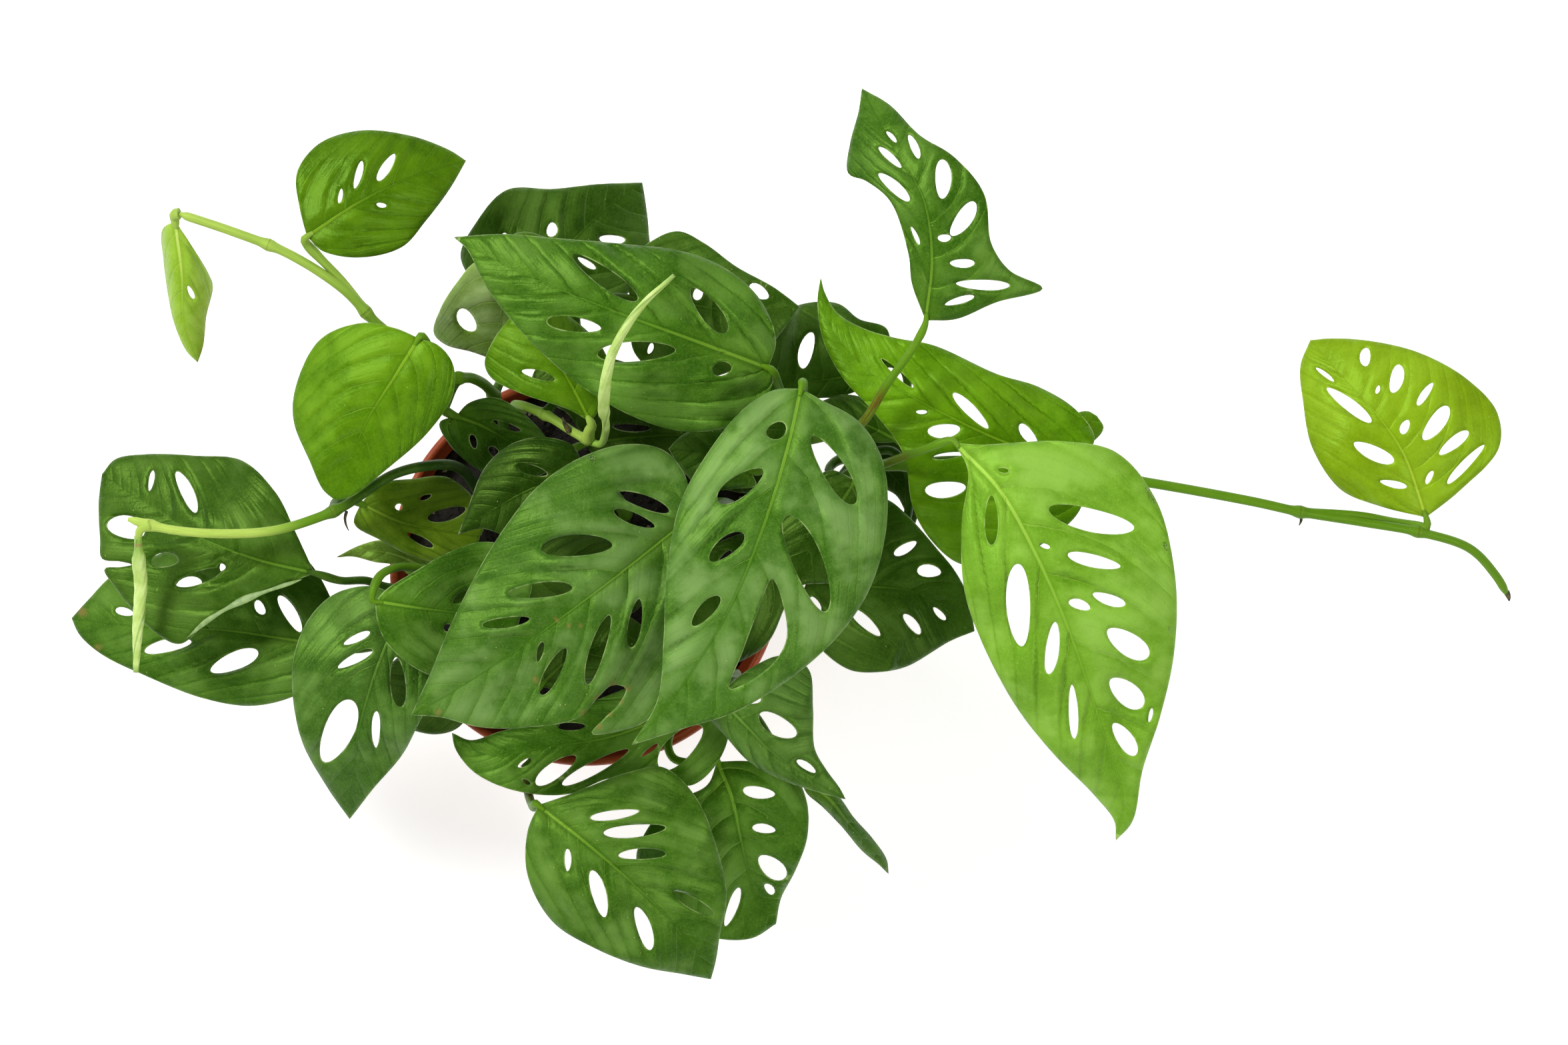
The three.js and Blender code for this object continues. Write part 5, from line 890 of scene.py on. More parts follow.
# Each vine is a list of strands. A name at the end stands for that blade, which the strand carries.
vines = {
    "vine_north": [
        [[-12, 38, stemFoot], [-17, 43, 112], [-21, 50, 140], [-12, 47, 151], [-3, 41.4, 157],
            [1, 39.2, 160]],
        [[1, 39.2, 160], [1.6, 42, 163], "inner_bright_leaf"],
        [[-12, 47, 151], [-3, 60, 148], [-4, 84, 150], [-9, 97, 156], [-18, 101, 159], [-23, 99, 159],
            "back_left_leaf"],
        [[-4, 84, 150], [5, 82.6, 156], [10, 82.1, 159], "north_mid_leaf"]],
    "vine_northwest": [
        [[-22, 30, stemFoot], [-23.5, 37, 111], [-28, 53, 124], [-34, 58, 136], [-42, 58.5, 146],
            [-52, 66, 152], [-63, 74.7, 155], [-72.7, 84.7, 157], [-89.2, 95.4, 158], [-105.7, 102, 158],
            [-122.4, 107.6, 158]],
        [[-66, 78, 155.6], [-73.5, 87.5, 156], [-80.3, 94.6, 157.5], [-83.8, 98.4, 160], "north_west_leaf"],
        [[-122.4, 107.6, 158], [-123.7, 107.4, 157.4], "far_west_leaf"],
        [[-42, 58.5, 146], [-43.6, 61.4, 155], [-46.4, 65.6, 166.5], "left_bright_leaf"],
        [[-38.6, 58.2, 142], [-41.5, 52, 144], [-42.5, 48.5, 145.5], "pot_west_leaf"],
        [[-28, 53, 124], [-22, 66, 119], [-19.5, 75, 125], "back_low_leaf"]],
    "vine_centre": [
        [[30, 5, stemFoot], [34, 8, 110], [46, 16, 125], [56, 26, 140], [61, 38, 152], [63, 47, 163]],
        [[63, 47, 163], [60.5, 51.5, 172], [58, 57, 181.5], "back_centre_leaf"],
        [[63, 47, 163], [65.6, 52, 178], [66.2, 55.6, 193], [65.8, 56.2, 200.5], "front_centre_leaf"],
        [[61, 38, 152], [72, 40, 163], [83, 43.6, 172], [91, 55.5, 179], [100, 68.3, 183],
            "north_east_leaf"],
        [[46, 16, 125], [44, 20, 150], [38.6, 20, 172], [34.4, 17, 177.6], "front_left_leaf"],
        [[56, 26, 140], [57, 30.5, 152], [53.5, 30.2, 158.5], "centre_low_leaf"]],
    "vine_east": [
        [[42, -8, stemFoot], [47, -3, 112], [62, 12, 128], [76, 26, 141], [84, 31, 148], [95, 31.5, 149],
            [112, 33, 148], [140, 31, 146], [169.4, 26.6, 146], [202.6, 20.6, 142], [216.8, 17.5, 138],
            [236, 14.4, 132], [254.7, 11.1, 126], [269, 6.4, 120], [277.3, -1.9, 113], [281.3, -8.3, 108]],
        [[84, 31, 148], [89, 31.6, 160], [95, 33.6, 173], [104, 36.8, 184], "right_big_leaf"],
        [[216.8, 17.5, 138], [236, 16.2, 131], [250, 13.6, 125], [255.6, 13, 126], "far_east_leaf"],
        [[165, 27.3, 146.1], [162, 30, 153], [154, 31.6, 159], "right_back_leaf"],
        [[134, 31.4, 146.6], [138.5, 33.5, 150], "small_east_leaf"],
        [[76, 26, 141], [85, 34.5, 141], [93, 36, 140], [97.6, 30, 140], [98.4, 21, 139], [95.5, 10, 138],
            [86, 2, 139], [75, -0.4, 139.5], [67.5, -2, 142], [65.6, -2.9, 146.5], "south_east_leaf"],
        [[76, 26, 141], [88, 42, 138], [97, 52, 137], [97, 60, 138.6], "north_east_dark_leaf"],
        [[98, 31.6, 148.9], [100.6, 34.6, 149], "dark_east_leaf"],
        [[84, 31, 148], [88, 31, 156], [86, 30.4, 161], "centre_east_leaf"],
        [[62, 12, 128], [67, 13.4, 138], [65.6, 11.4, 144.6], "centre_dark_leaf"],
        [[76, 26, 141], [74, 30.5, 136], [77.5, 33.5, 132.4], "east_gap_leaf"]],
    "vine_west": [
        [[-28, 14, stemFoot], [-30, 18, 112], [-38.5, 31, 138], [-48, 31.4, 149], [-58.3, 28.6, 153],
            [-72.7, 19.3, 153], [-82, 15.3, 153], [-93.8, 11.9, 155], [-108.2, 10.9, 158],
            [-124.7, 12.1, 160], [-137.8, 15.3, 160]],
        [[-76, 17.8, 153], [-75.4, 20.6, 146], [-71.5, 21.6, 141], "inner_olive_leaf"],
        [[-131, 13.6, 160.2], [-134, 12.2, 160], [-134.8, 9.6, 158.6]]],
    "vine_southwest": [
        [[-26, -8, stemFoot], [-29, -8, 110], [-34, -6.5, 122]],
        [[-34, -6.5, 122], [-46, -6, 131], [-60, -5.3, 138], [-66.5, -3.3, 142], [-74, -3.3, 143.6],
            "west_upper_leaf"],
        [[-34, -6.5, 122], [-38, -4, 138], [-47, 0, 151], [-56, 0.8, 156], [-61.5, -1.6, 160],
            [-63.8, -6.6, 162.4], "west_inner_leaf"],
        [[-34, -6.5, 122], [-44, -9, 136], [-51.6, -8, 146], "south_west_leaf"],
        [[-34, -6.5, 122], [-48, -16, 125], [-62, -23, 126], "west_lower_leaf"],
        [[-34, -6.5, 122], [-41, -2.6, 120.6], "inner_pale_leaf"],
        [[-29, -8, 110], [-25.4, -5.4, 115], "low_centre_leaf"],
        [[-29, -8, 110], [-27.5, -19, 112.5], [-27.6, -27, 114.6], "south_west_low_leaf"]],
    "vine_south": [
        [[-2, -26, stemFoot], [-4, -34, 112], [-8, -44, 119], [-14, -55, 120], [-18.4, -61, 120]],
        [[-18.4, -61, 120], [-17.6, -67.4, 121], [-16.5, -70.9, 128.4], [-15.4, -71.9, 135.5],
            "bottom_big_leaf"],
        [[-8, -44, 119], [-13.6, -42.6, 120.6], [-16.6, -39, 121.4], "south_low_leaf"]],
    "vine_southeast": [
        [[22, -20, stemFoot], [26, -26, 112], [36, -33, 124]],
        [[36, -33, 124], [42.6, -34.4, 129], "bottom_long_leaf"],
        [[42.6, -34.4, 129], [46, -31.6, 140], [42, -32, 152], [37.6, -35.4, 155.4], "south_fold_leaf"],
        [[36, -33, 124], [30.5, -42, 121.5], [25, -52, 120.5], [26.6, -57.4, 121.5], [33, -58.8, 123.4],
            "bottom_right_leaf"],
        [[42.6, -34.4, 129], [52, -45, 133.5], [58.5, -55.5, 135], [62, -60.6, 134.8], "south_tail_leaf"]],
    "vine_inner": [
        [[12, 15, stemFoot], [12, 17, 118], [10, 22, 150], [5, 27, 158.6], "mid_left_leaf"],
        [[12, 17, 118], [5, 24, 124], [-2.6, 31, 128], [-4, 36, 130.8], "north_low_leaf"]],
}

# Pale tells how light each strand is along its way, from old dark wood to fresh growth.
# Worn is [x, y, z, size, strength] of brown bark.
vineLooks = {
    "vine_north": {"pale": {0: (0.05, 0.2, 0.6, 0.8), 1: (0.8, 0.8), 2: (0.1, 0.3), 3: (0.05, 0.1)}},
    "vine_northwest": {"pale": {0: (0.05, 0.1, 0.5, 0.75, 0.85), 1: (0.75, 0.7), 2: (0.8, 0.8),
                                3: (0.4, 0.5)},
                       "joints": [[-66, 78, 155.6], [-95.3, 98.1, 157.6]], "plain": [[-122.4, 107.6, 158]]},
    "vine_centre": {"pale": {0: (0.05, 0.1), 1: (0.1, 0.5), 2: (0.1, 0.2, 0.5), 3: (0.05, 0.35, 0.5, 0.55)},
                    "worn": [[86.9, 49.2, 175.5, 7, 1.0], [61.4, 40, 154, 6, 0.5]]},
    "vine_east": {"pale": {0: (0.05, 0.1, 0.4, 0.5, 0.55), 1: (0.1, 0.3, 0.6), 2: (0.5, 0.6),
                           5: (0, 0, 0.05)},
                  "joints": [[253, 11.6, 126.6]], "worn": [[95, 33.6, 173, 7, 0.5]]},
    "vine_west": {"pale": {0: (0.02, 0.02, 0.02, 0.02, 0.02, 0.03, 0.06, 0.55, 0.95, 1.0, 1.0),
                           2: (0.85, 0.9)}},
    "vine_southwest": {"pale": {0: (0.05, 0.1), 1: (0.05, 0.1), 2: (0.1, 0.4)}},
    "vine_south": {"pale": {1: (0.05, 0.2, 0.5)}, "worn": [[-17.4, -68, 123, 6, 0.6]]},
    "vine_southeast": {"pale": {3: (0.3, 0.5, 0.5)}},
}


def makeStemTubes():  # a tube along each strand, as thick as the girth at its points
    tree, w, into, out = newGroup("stemTubes", "GeometryNodeTree",
                                  {"Geometry": "Geometry", "Sides": "Int", "Skin": "Material"},
                                  {"Geometry": "Geometry"})
    path = w.add("GeometryNodeMeshToCurve", {"Mesh": into["Geometry"]}).outputs["Curve"]
    ring = w.add("GeometryNodeCurvePrimitiveCircle", {"Resolution": into["Sides"], "Radius": 1.0})
    ring = ring.outputs["Curve"]
    turn = w.times(w.add("GeometryNodeSplineParameter").outputs["Factor"], 2 * math.pi)
    for label, operation in (("turnX", "COSINE"), ("turnY", "SINE")):
        ring = w.altered("StoreNamedAttribute", ring, Name=label, Value=w.calc(operation, turn))
    girth = w.add("GeometryNodeInputNamedAttribute", {"Name": "girth"}, data_type="FLOAT").outputs[0]
    tube = {"Curve": path, "Profile Curve": ring, "Scale": girth, "Fill Caps": True}
    solid = w.altered("RealizeInstances", w.add("GeometryNodeCurveToMesh", tube).outputs["Mesh"])
    solid = w.altered("SetMaterial", w.altered("SetShadeSmooth", solid), Material=into["Skin"])
    w.put(solid, out["Geometry"])
    return tree


def makeStems(name, lines, lists, sides, material, *nodes):  # one piece of tubes along the lines
    edges, start = [], 0
    for line in lines:
        edges += [(k, k + 1) for k in range(start, start + len(line) - 1)]
        start += len(line)
    path = meshFrom(name + "Path", np.vstack(lines), [], edges)
    store(path, **lists)
    asPiece(name, grown(path, stemTubes, name, Sides=sides, Skin=material), None, "stem_green", *nodes)


def strandPath(points, first):  # from the soil when it is the first, and into the blade when it carries one
    if first:
        x, y = points[0][:2]
        points = [points[0], [x, y, soilTop - 6], [x, y, soilTop + 5]] + points[1:]
    if isinstance(points[-1], str):
        rib = np.array(leaves[points[-1]]["rib"][:2], float)
        ahead = (rib[1] - rib[0]) / np.linalg.norm(rib[1] - rib[0])
        under = np.array([0, 0, 0.55])
        points = points[:-1] + [list(rib[0] - 1.0 * ahead - under), list(rib[0] + 2.2 * ahead - 1.2 * under)]
    return smoothLine(points, stemShape["spacing"])


def makeVine(name, strands, material):
    shape, looks = stemShape, vineLooks.get(name, {})
    lines, lists = [], {key: [] for key in ("girth", "pale", "run", "collar", "worn")}
    joints = [s[0] for s in strands[1:] if s[0] not in looks.get("plain", [])] + looks.get("joints", [])
    for number, points in enumerate(strands):
        line = strandPath(points, number == 0)
        share, swell, worn = np.linspace(0, 1, len(line)), np.zeros(len(line)), np.zeros(len(line))
        carries = isinstance(points[-1], str)
        if number == 0:
            size = shape["stem"] * (1 - shape["taper"] * share)
        else:
            size = shape["stalk"] * (1 - shape["stalkTaper"] * share - shape["thinEnd"][carries] * share**8)
        if carries:
            tail = np.linalg.norm(line - line[-1], axis=1)
            size = size * (1 + shape["neck"] * np.exp(-((tail - shape["neckAt"]) / shape["neckLength"]) ** 2))
        for joint in joints:
            gone = np.linalg.norm(line - joint, axis=1)
            if gone.min() < shape["ringReach"]:
                swell = np.maximum(swell, np.exp(-(gone / shape["ringLength"]) ** 2))
        size = size * (1 + shape["ring"] * swell)
        if number == 0 and not carries and len(points) > 6:
            size = size * (1 - shape["tip"] * step(share, 0.985, 1.0))
        for x, y, z, wide, strength in looks.get("worn", []):
            gone = np.linalg.norm(line - (x, y, z), axis=1)
            worn = np.maximum(worn, strength * np.exp(-(gone / wide) ** 4))
        ends = looks.get("pale", {}).get(number, (0.1, 0.3))
        pale = np.interp(share, np.linspace(0, 1, len(ends)), ends)
        for key, values in zip(lists, (size * mm, pale, share * lengthOf(line), swell, worn)):
            lists[key] += list(values)
        lines.append(line)
    makeStems(name + "_stem", lines, lists, shape["sides"], material, name)


def makeStemSkin():
    material, w, skin = newMaterial("stemSkin", paint(90, 140, 50), IOR=1.4,
                                    Specular_Tint=(0.6, 1.0, 0.25, 1.0))
    spot, pale, collar = w.spot(), w.reading("pale"), w.reading("collar")
    around = {"X": w.reading("turnX"), "Y": w.reading("turnY"), "Z": w.times(w.reading("run"), 0.05)}
    around = w.add("ShaderNodeCombineXYZ", around).outputs[0]
    streak = w.add("ShaderNodeTexNoise", {"Vector": around, "Scale": 3.2, "Detail": 3.0}).outputs["Fac"]
    blotch, fine, freckle = w.noise(spot, 9, 3), w.noise(spot, 0.5, 2), w.cells(spot, 1.3)["Distance"]
    green = w.coats(paint(28, 58, 6), (w.ramp(pale, 0.0, 0.55), paint(88, 130, 18)),
                    (w.ramp(pale, 0.5, 1.0), paint(176, 200, 92)),
                    (w.ramp(streak, 0.35, 0.7, 0.0, 0.15), paint(46, 84, 14)),
                    (w.ramp(blotch, 0.45, 0.7, 0.0, 0.14), paint(112, 146, 40)),
                    (w.ramp(collar, 0.82, 0.97, 0.0, 0.32), paint(104, 108, 44)),
                    (w.times(w.reading("worn"), w.ramp(streak, 0.44, 0.54, 0.1, 0.85)), paint(104, 58, 22)),
                    (w.ramp(freckle, 0.06, 0.16, 0.25, 0.0), paint(160, 180, 104)))
    height = w.total(w.times(fine, 0.03), (streak, 0.14), (w.ramp(collar, 0.86, 0.93), -0.12))
    w.dress(skin, green, w.ramp(blotch, 0.3, 0.7, 0.42, 0.54), height)
    return material


# Rolled young leaves: a blade wound on itself, with one free edge running round it.
rolled = {
    "north_rolled_leaf": {
        "path": [[2.4, 38.4, 159.8], [4.9, 38, 162.6], [6.6, 42, 171], [6.3, 48.6, 190], [6.6, 55, 200],
                 [9.2, 65.7, 206], [17.5, 78.7, 210], [27.5, 88.2, 211]],
        "radius": 2.0, "turns": 1.6, "curl": 0.2, "stalk": 0.3},
    "west_rolled_leaf": {
        "path": [[-134.8, 10, 158.9], [-134.7, 3, 154], [-134.2, -5, 150], [-135.4, -17.4, 147],
                 [-136, -31.1, 144]],
        "radius": 2.2, "turns": 1.3, "curl": 0.22, "stalk": 0.12, "ring": 1.0},
}


def makeRolled(name, spear, material):
    line = smoothLine(spear["path"], 0.6)
    n, sides, ahead = len(line), 40, headings(line)
    share, part = np.linspace(0, 1, n), np.linspace(0, 1, sides, endpoint=False)
    size = spear["radius"] * (0.75 + 0.5 * share - 0.95 * share**2)
    side, rings = np.cross(ahead[0], [1.0, 0, 0.2]), []
    for k in range(n):
        side = side - ahead[k] * (side @ ahead[k])
        side = side / np.linalg.norm(side)
        up = np.cross(ahead[k], side)
        wound = step(share[k], spear["stalk"] - 0.03, spear["stalk"] + 0.05)
        turn = 2 * math.pi * (part + spear["turns"] * share[k])
        grow = spear["curl"] * wound * (part**0.9 - 0.5)
        ridge = 0.03 * wound * np.sin(14 * math.pi * part)
        flat = 1 - 0.16 * wound * np.cos(2 * turn)
        radius = size[k] * (1 - 0.28 * (1 - wound)) * (1 + grow + ridge) * flat
        rings.append(line[k] + radius[:, None] * (np.cos(turn)[:, None] * side + np.sin(turn)[:, None] * up))
    spots = np.vstack(rings + [line[:1], line[-1:]])
    mesh = meshFrom(name, spots, tubeFaces(n, sides, 0, n * sides, n * sides + 1))
    store(mesh, seam=np.append(np.tile(np.minimum(part, 1 - part), n), [0.5, 0.5]),
          run=np.append(np.repeat(share, sides), [0, 1]), ring=np.full(len(spots), spear.get("ring", 0.0)))
    asPiece(name.replace("_leaf", "_spear"), mesh, material, "leaf_bright", name)


def makeSpearSkin():
    material, w, skin = newMaterial("spearSkin", paint(190, 214, 130))
    spot, seam, run = w.spot(), w.reading("seam"), w.reading("run")
    soft, fine = w.noise(spot, 5, 3), w.noise(spot, 0.6, 2)
    ring = w.times(w.ramp(run, 0.035, 0.05, 0.0, w.reading("ring")), w.ramp(run, 0.06, 0.08, 0.6, 0.0))
    colour = w.coats(paint(192, 214, 128), (w.ramp(soft, 0.3, 0.7), paint(162, 192, 90)),
                     (w.ramp(run, 0.0, 0.3, 0.8, 0.0), paint(116, 162, 30)),
                     (w.ramp(seam, 0.0, 0.07, 0.55, 0.0), paint(78, 124, 24)), (ring, paint(150, 112, 70)),
                     (w.ramp(run, 0.93, 1.0, 0.0, 0.6), paint(96, 134, 46)))
    w.dress(skin, colour, w.ramp(soft, 0.3, 0.7, 0.36, 0.5), w.total(w.times(fine, 0.04), (soft, 0.2)))
    return material


# Nursery pot, turned about Z. Radius and height pairs go up the outside and down the inside.
pot = {"sides": 144, "drains": 6, "drainRadius": 3.2, "drainAt": 29.4,
       "profile": [[0, 0.9], [30, 0.9], [36, 0.3], [38.5, 0], [42.2, 0], [43.2, 0.9], [43.6, 3], [48.2, 36],
                   [48.5, 36.6], [52.9, 70], [53.2, 70.6], [56.2, 93.6], [56.64, 95.04], [59.3, 95.04],
                   [59.9, 95.5], [60, 96.4], [59.6, 97.3], [59.7, 104.6], [60, 105.4], [60, 106.8],
                   [59.6, 107.6], [58.9, 108], [58.1, 107.9], [57.5, 107.3], [57.1, 105.6], [55.2, 96.6],
                   [54.96, 95.04], [50, 62], [46, 33], [41.9, 4.2], [40.8, 2.9], [39.4, 2.52], [0, 2.52]]}


def turnedMesh(name, profile, sides):
    t = np.linspace(0, 2 * math.pi, sides, endpoint=False)
    rings = [[r * c, r * s, z] for r, z in profile[1:-1] for c, s in zip(np.cos(t), np.sin(t))]
    spots = [[0, 0, profile[0][1]]] + rings + [[0, 0, profile[-1][1]]]
    return meshFrom(name, spots, tubeFaces(len(profile) - 2, sides, 1, 0, len(spots) - 1))


def makePot(material):
    body = placed("potBlank", turnedMesh("pot_shell", pot["profile"], pot["sides"]))
    wide, out, drills = pot["drainRadius"], pot["drainAt"] * mm, []
    drill = turnedMesh("potDrill", [[0, -4], [wide, -4], [wide, 8], [0, 8]], 24)
    for k in range(pot["drains"]):
        turn = k * 2 * math.pi / pot["drains"]
        drills.append(placed("potDrill", drill))
        drills[-1].location = (out * math.cos(turn), out * math.sin(turn), 0)
        cut = body.modifiers.new("drain", "BOOLEAN")
        cut.operation, cut.object, cut.solver = "DIFFERENCE", drills[-1], "MANIFOLD"
    mesh = evaluated(body, "pot_shell")
    for helper in drills + [body]:
        bpy.data.objects.remove(helper)
    mesh.polygons.foreach_set("use_smooth", [True] * len(mesh.polygons))
    mesh.set_sharp_from_angle(angle=math.radians(38))
    asPiece("pot_shell", mesh, material, "pot_plastic", "pot")


def makePotSkin():
    material, w, skin = newMaterial("potSkin", paint(176, 78, 44), Specular_Tint=(1.0, 0.8, 0.65, 1.0))
    spot = w.spot()
    level, upright = w.add("ShaderNodeSeparateXYZ", {0: spot}).outputs["Z"], w.stretched(spot, 1, 1, 0.08)
    broad, fine, streak = w.noise(spot, 30, 4, 0.6), w.noise(spot, 1.1, 3), w.noise(upright, 2.4, 3)
    dust = w.times(w.ramp(level, 0.0, 0.03, 0.45, 0.05), w.ramp(fine, 0.4, 0.6))
    scuff = w.times(w.ramp(w.cells(upright, 5)["Distance"], 0.02, 0.07, 0.35, 0.0), w.ramp(broad, 0.5, 0.6))
    colour = w.coats(paint(156, 58, 18), (w.ramp(broad, 0.3, 0.7), paint(132, 46, 14)),
                     (w.ramp(streak, 0.55, 0.75, 0.0, 0.25), paint(158, 78, 40)), (dust, paint(170, 120, 92)),
                     (scuff, paint(190, 116, 84)))
    w.dress(skin, colour, w.ramp(broad, 0.3, 0.7, 0.44, 0.58), w.total(w.times(streak, 0.04), (fine, 0.06)))
    return material


# Peat: a lumpy disc, with loose crumbs and a few pale grains spread on it by a node tree.
# Crumbs and grains: how many to a square metre, size in millimetres and seed.
soil = {"bottom": 2.9, "footRadius": 40.6, "topRadius": 54.4, "rings": 42, "sides": 150,
        "crumbs": (260000.0, 1.05, 7), "grains": (9000.0, 1.25, 8)}


def soilHeight(x, y):
    swell = np.sin(x * 0.31 + 0.8) * np.cos(y * 0.27) + 0.6 * np.sin((x - y) * 0.53)
    return soilTop + 0.8 * swell + 0.7 * waves(x, y, 9, 4) + 0.4 * waves(x, y, 3.2, 5)


def makeSoil():
    rings, sides, foot, bottom = (soil[key] for key in ("rings", "sides", "footRadius", "bottom"))
    t = np.linspace(0, 2 * math.pi, sides, endpoint=False)
    spots = [[0, 0, soilHeight(0.0, 0.0)]]
    for k in range(1, rings + 1):
        r = soil["topRadius"] * k / rings
        x, y = r * np.cos(t), r * np.sin(t)
        spots += np.stack([x, y, soilHeight(x, y) - 1.2 * step(k / rings, 0.9, 1.0)], 1).tolist()
    spots += [[foot * math.cos(a), foot * math.sin(a), bottom] for a in t] + [[0, 0, bottom]]
    return meshFrom("soil_bed", spots, tubeFaces(rings + 1, sides, 1, 0, len(spots) - 1, flip=True))


def makeCrumbTree():  # uneven lumps, each turned and sized by chance, on the faces that look up
    wanted = {"Geometry": "Geometry", "Density": "Float", "Size": "Float", "Seed": "Int", "Skin": "Material"}
    tree, w, into, out = newGroup("peatCrumbs", "GeometryNodeTree", wanted, {"Geometry": "Geometry"})

    def chance(low, high):
        inputs = {"Min": low, "Max": high, "Seed": into["Seed"]}
        return w.add("FunctionNodeRandomValue", inputs, data_type="FLOAT_VECTOR").outputs["Value"]

    normal = w.add("GeometryNodeInputNormal").outputs["Normal"]
    level = w.add("ShaderNodeSeparateXYZ", {0: normal}).outputs["Z"]
    upward = w.add("FunctionNodeCompare", {"A": level, "B": 0.6}, operation="GREATER_THAN").outputs[0]
    places = {"Mesh": into["Geometry"], "Selection": upward, "Density": into["Density"], "Seed": into["Seed"]}
    spread = w.add("GeometryNodeDistributePointsOnFaces", places, distribute_method="RANDOM").outputs[0]
    lump = w.add("GeometryNodeMeshIcoSphere", {"Radius": 1.0, "Subdivisions": 1}).outputs["Mesh"]
    bumps = w.add("ShaderNodeTexNoise", {"Scale": 1.4, "Detail": 1.0}).outputs["Color"]
    push = w.add("ShaderNodeVectorMath", {0: bumps, 1: (0.5, 0.5, 0.5)}, operation="SUBTRACT").outputs[0]
    lump = w.altered("SetPosition", lump, Offset=push)
    spin = chance((0, 0, 0), (6.28, 6.28, 6.28))
    size = {0: chance((0.35, 0.3, 0.25), (1.3, 1.0, 0.8)), "Scale": into["Size"]}
    size = w.add("ShaderNodeVectorMath", size, operation="SCALE").outputs[0]
    laid = w.add("GeometryNodeInstanceOnPoints", {"Points": spread, "Instance": lump, "Rotation": spin,
                                                  "Scale": size}).outputs["Instances"]
    solid = w.altered("RealizeInstances", laid)
    w.put(w.altered("SetMaterial", solid, Material=into["Skin"]), out["Geometry"])
    return tree


def makePeatSkin(name, dark, light, rough):
    material, w, skin = newMaterial(name, light)
    spot = w.spot()
    lumps, fine = w.noise(spot, 2.6, 4, 0.65), w.noise(spot, 0.5, 2)
    fibre = w.noise(w.stretched(spot, 1, 0.12, 1), 0.6, 2)
    colour = w.coats(dark, (w.ramp(lumps, 0.3, 0.7), light),
                     (w.ramp(fibre, 0.62, 0.75, 0.0, 0.4), lit(light, 1.9)))
    height = w.total(w.times(fine, 0.2), (lumps, 0.8))
    w.dress(skin, colour, w.ramp(fine, 0.3, 0.7, rough - 0.08, rough), height)
    return material


# Short aerial roots, the dried tip of the longest vine and the swelling of a node: path and thickness.
roots = {
    "west_root": [[[-72, 17.6, 152.4], [-72.5, 15.6, 151], [-72.2, 13.6, 150.4], [-71.4, 11.8, 150]], 0.5],
    "east_root": [[[217, 17, 137.4], [217.2, 15, 136.6], [216.6, 13.4, 136.4]], 0.6],
    "east_tip": [[[280.7, -6.9, 109], [281.4, -8.4, 107.9], [281.6, -9.6, 107]], 0.95],
    "north_node": [[[-4.6, 41.8, 157.6], [-6, 44.4, 159.2], [-6.6, 46, 160.2]], 0.9],
}


def makeRoot(name, points, thick, material):
    line = smoothLine(points, 0.4)
    girth = thick * mm * (1 - 0.75 * np.linspace(0, 1, len(line)) ** 2)
    makeStems(name, [line], {"girth": girth}, 12, material)


def makeRootSkin():
    material, w, skin = newMaterial("rootSkin", paint(110, 84, 46))
    spot = w.spot()
    soft, fine = w.noise(spot, 1.6, 3), w.noise(spot, 0.3, 2)
    colour = w.mix(w.ramp(soft, 0.35, 0.65), paint(40, 28, 12), paint(96, 88, 40))
    w.dress(skin, colour, w.ramp(soft, 0.3, 0.7, 0.6, 0.85), w.times(fine, 0.12))
    return material


# The turned-up margin of one old blade shows its pale underside as a narrow roll.
margins = {
    "west_upper_leaf": {"along": [[-85.4, -3.4], [-94, -6.2], [-104, -10], [-114, -15.8], [-120.5, -21.2]],
                        "wide": 1.15, "thick": 0.3, "inset": 0.5},
}


def makeMarginSkin():
    material, w, skin = newMaterial("marginSkin", paint(120, 146, 84), Roughness=0.5)
    soft = w.ramp(w.noise(w.spot(), 3, 3), 0.3, 0.7)
    w.put(w.mix(soft, paint(96, 128, 58), paint(136, 160, 98)), skin["Base Color"])
    return material


def makeMargin(name, fold, form, material):
    plan = smoothLine(fold["along"], 0.8)
    inward = headings(plan)[:, ::-1] * np.array([1, -1])
    share, rows, sides = np.linspace(0, 1, len(plan)), len(plan), 14
    swell = np.sin(math.pi * share) ** 0.6 * (0.8 + 0.25 * np.sin(share * 17))
    middle = plan + inward * fold["inset"]
    height = relief(form, middle) + bladeShape["thickness"] / 2 + fold["thick"] + 0.1
    spots = []
    for k in range(rows):
        for turn in np.linspace(0, 2 * math.pi, sides, endpoint=False):
            out = fold["wide"] * swell[k] * math.cos(turn)
            up = fold["thick"] * (0.3 + 0.7 * swell[k]) * math.sin(turn) - 0.28 * out
            spots.append([*(middle[k] + inward[k] * out), height[k] + up])
    sleeve = [face for face in tubeFaces(rows, sides, 0, 0, 0, flip=True) if len(face) == 4]
    caps = [tuple(range(sides)), tuple(reversed(range((rows - 1) * sides, rows * sides)))]
    mesh = meshFrom(name + "_margin", spots, sleeve + caps)
    asPiece(name.replace("_leaf", "_margin"), mesh, material, "leaf_bright")


# Water left on the blades: place, length, width, height and direction of each drop.
drops = {
    "front_left_leaf": [[2.7, 33.8, 2.3, 2.0, 0.8, 20]],
    "right_big_leaf": [[170.2, 22.4, 5.2, 1.7, 0.7, -62], [174.8, 7.2, 2.8, 1.2, 0.5, -75],
                       [176.2, -18, 2.4, 0.9, 0.4, -85]],
}


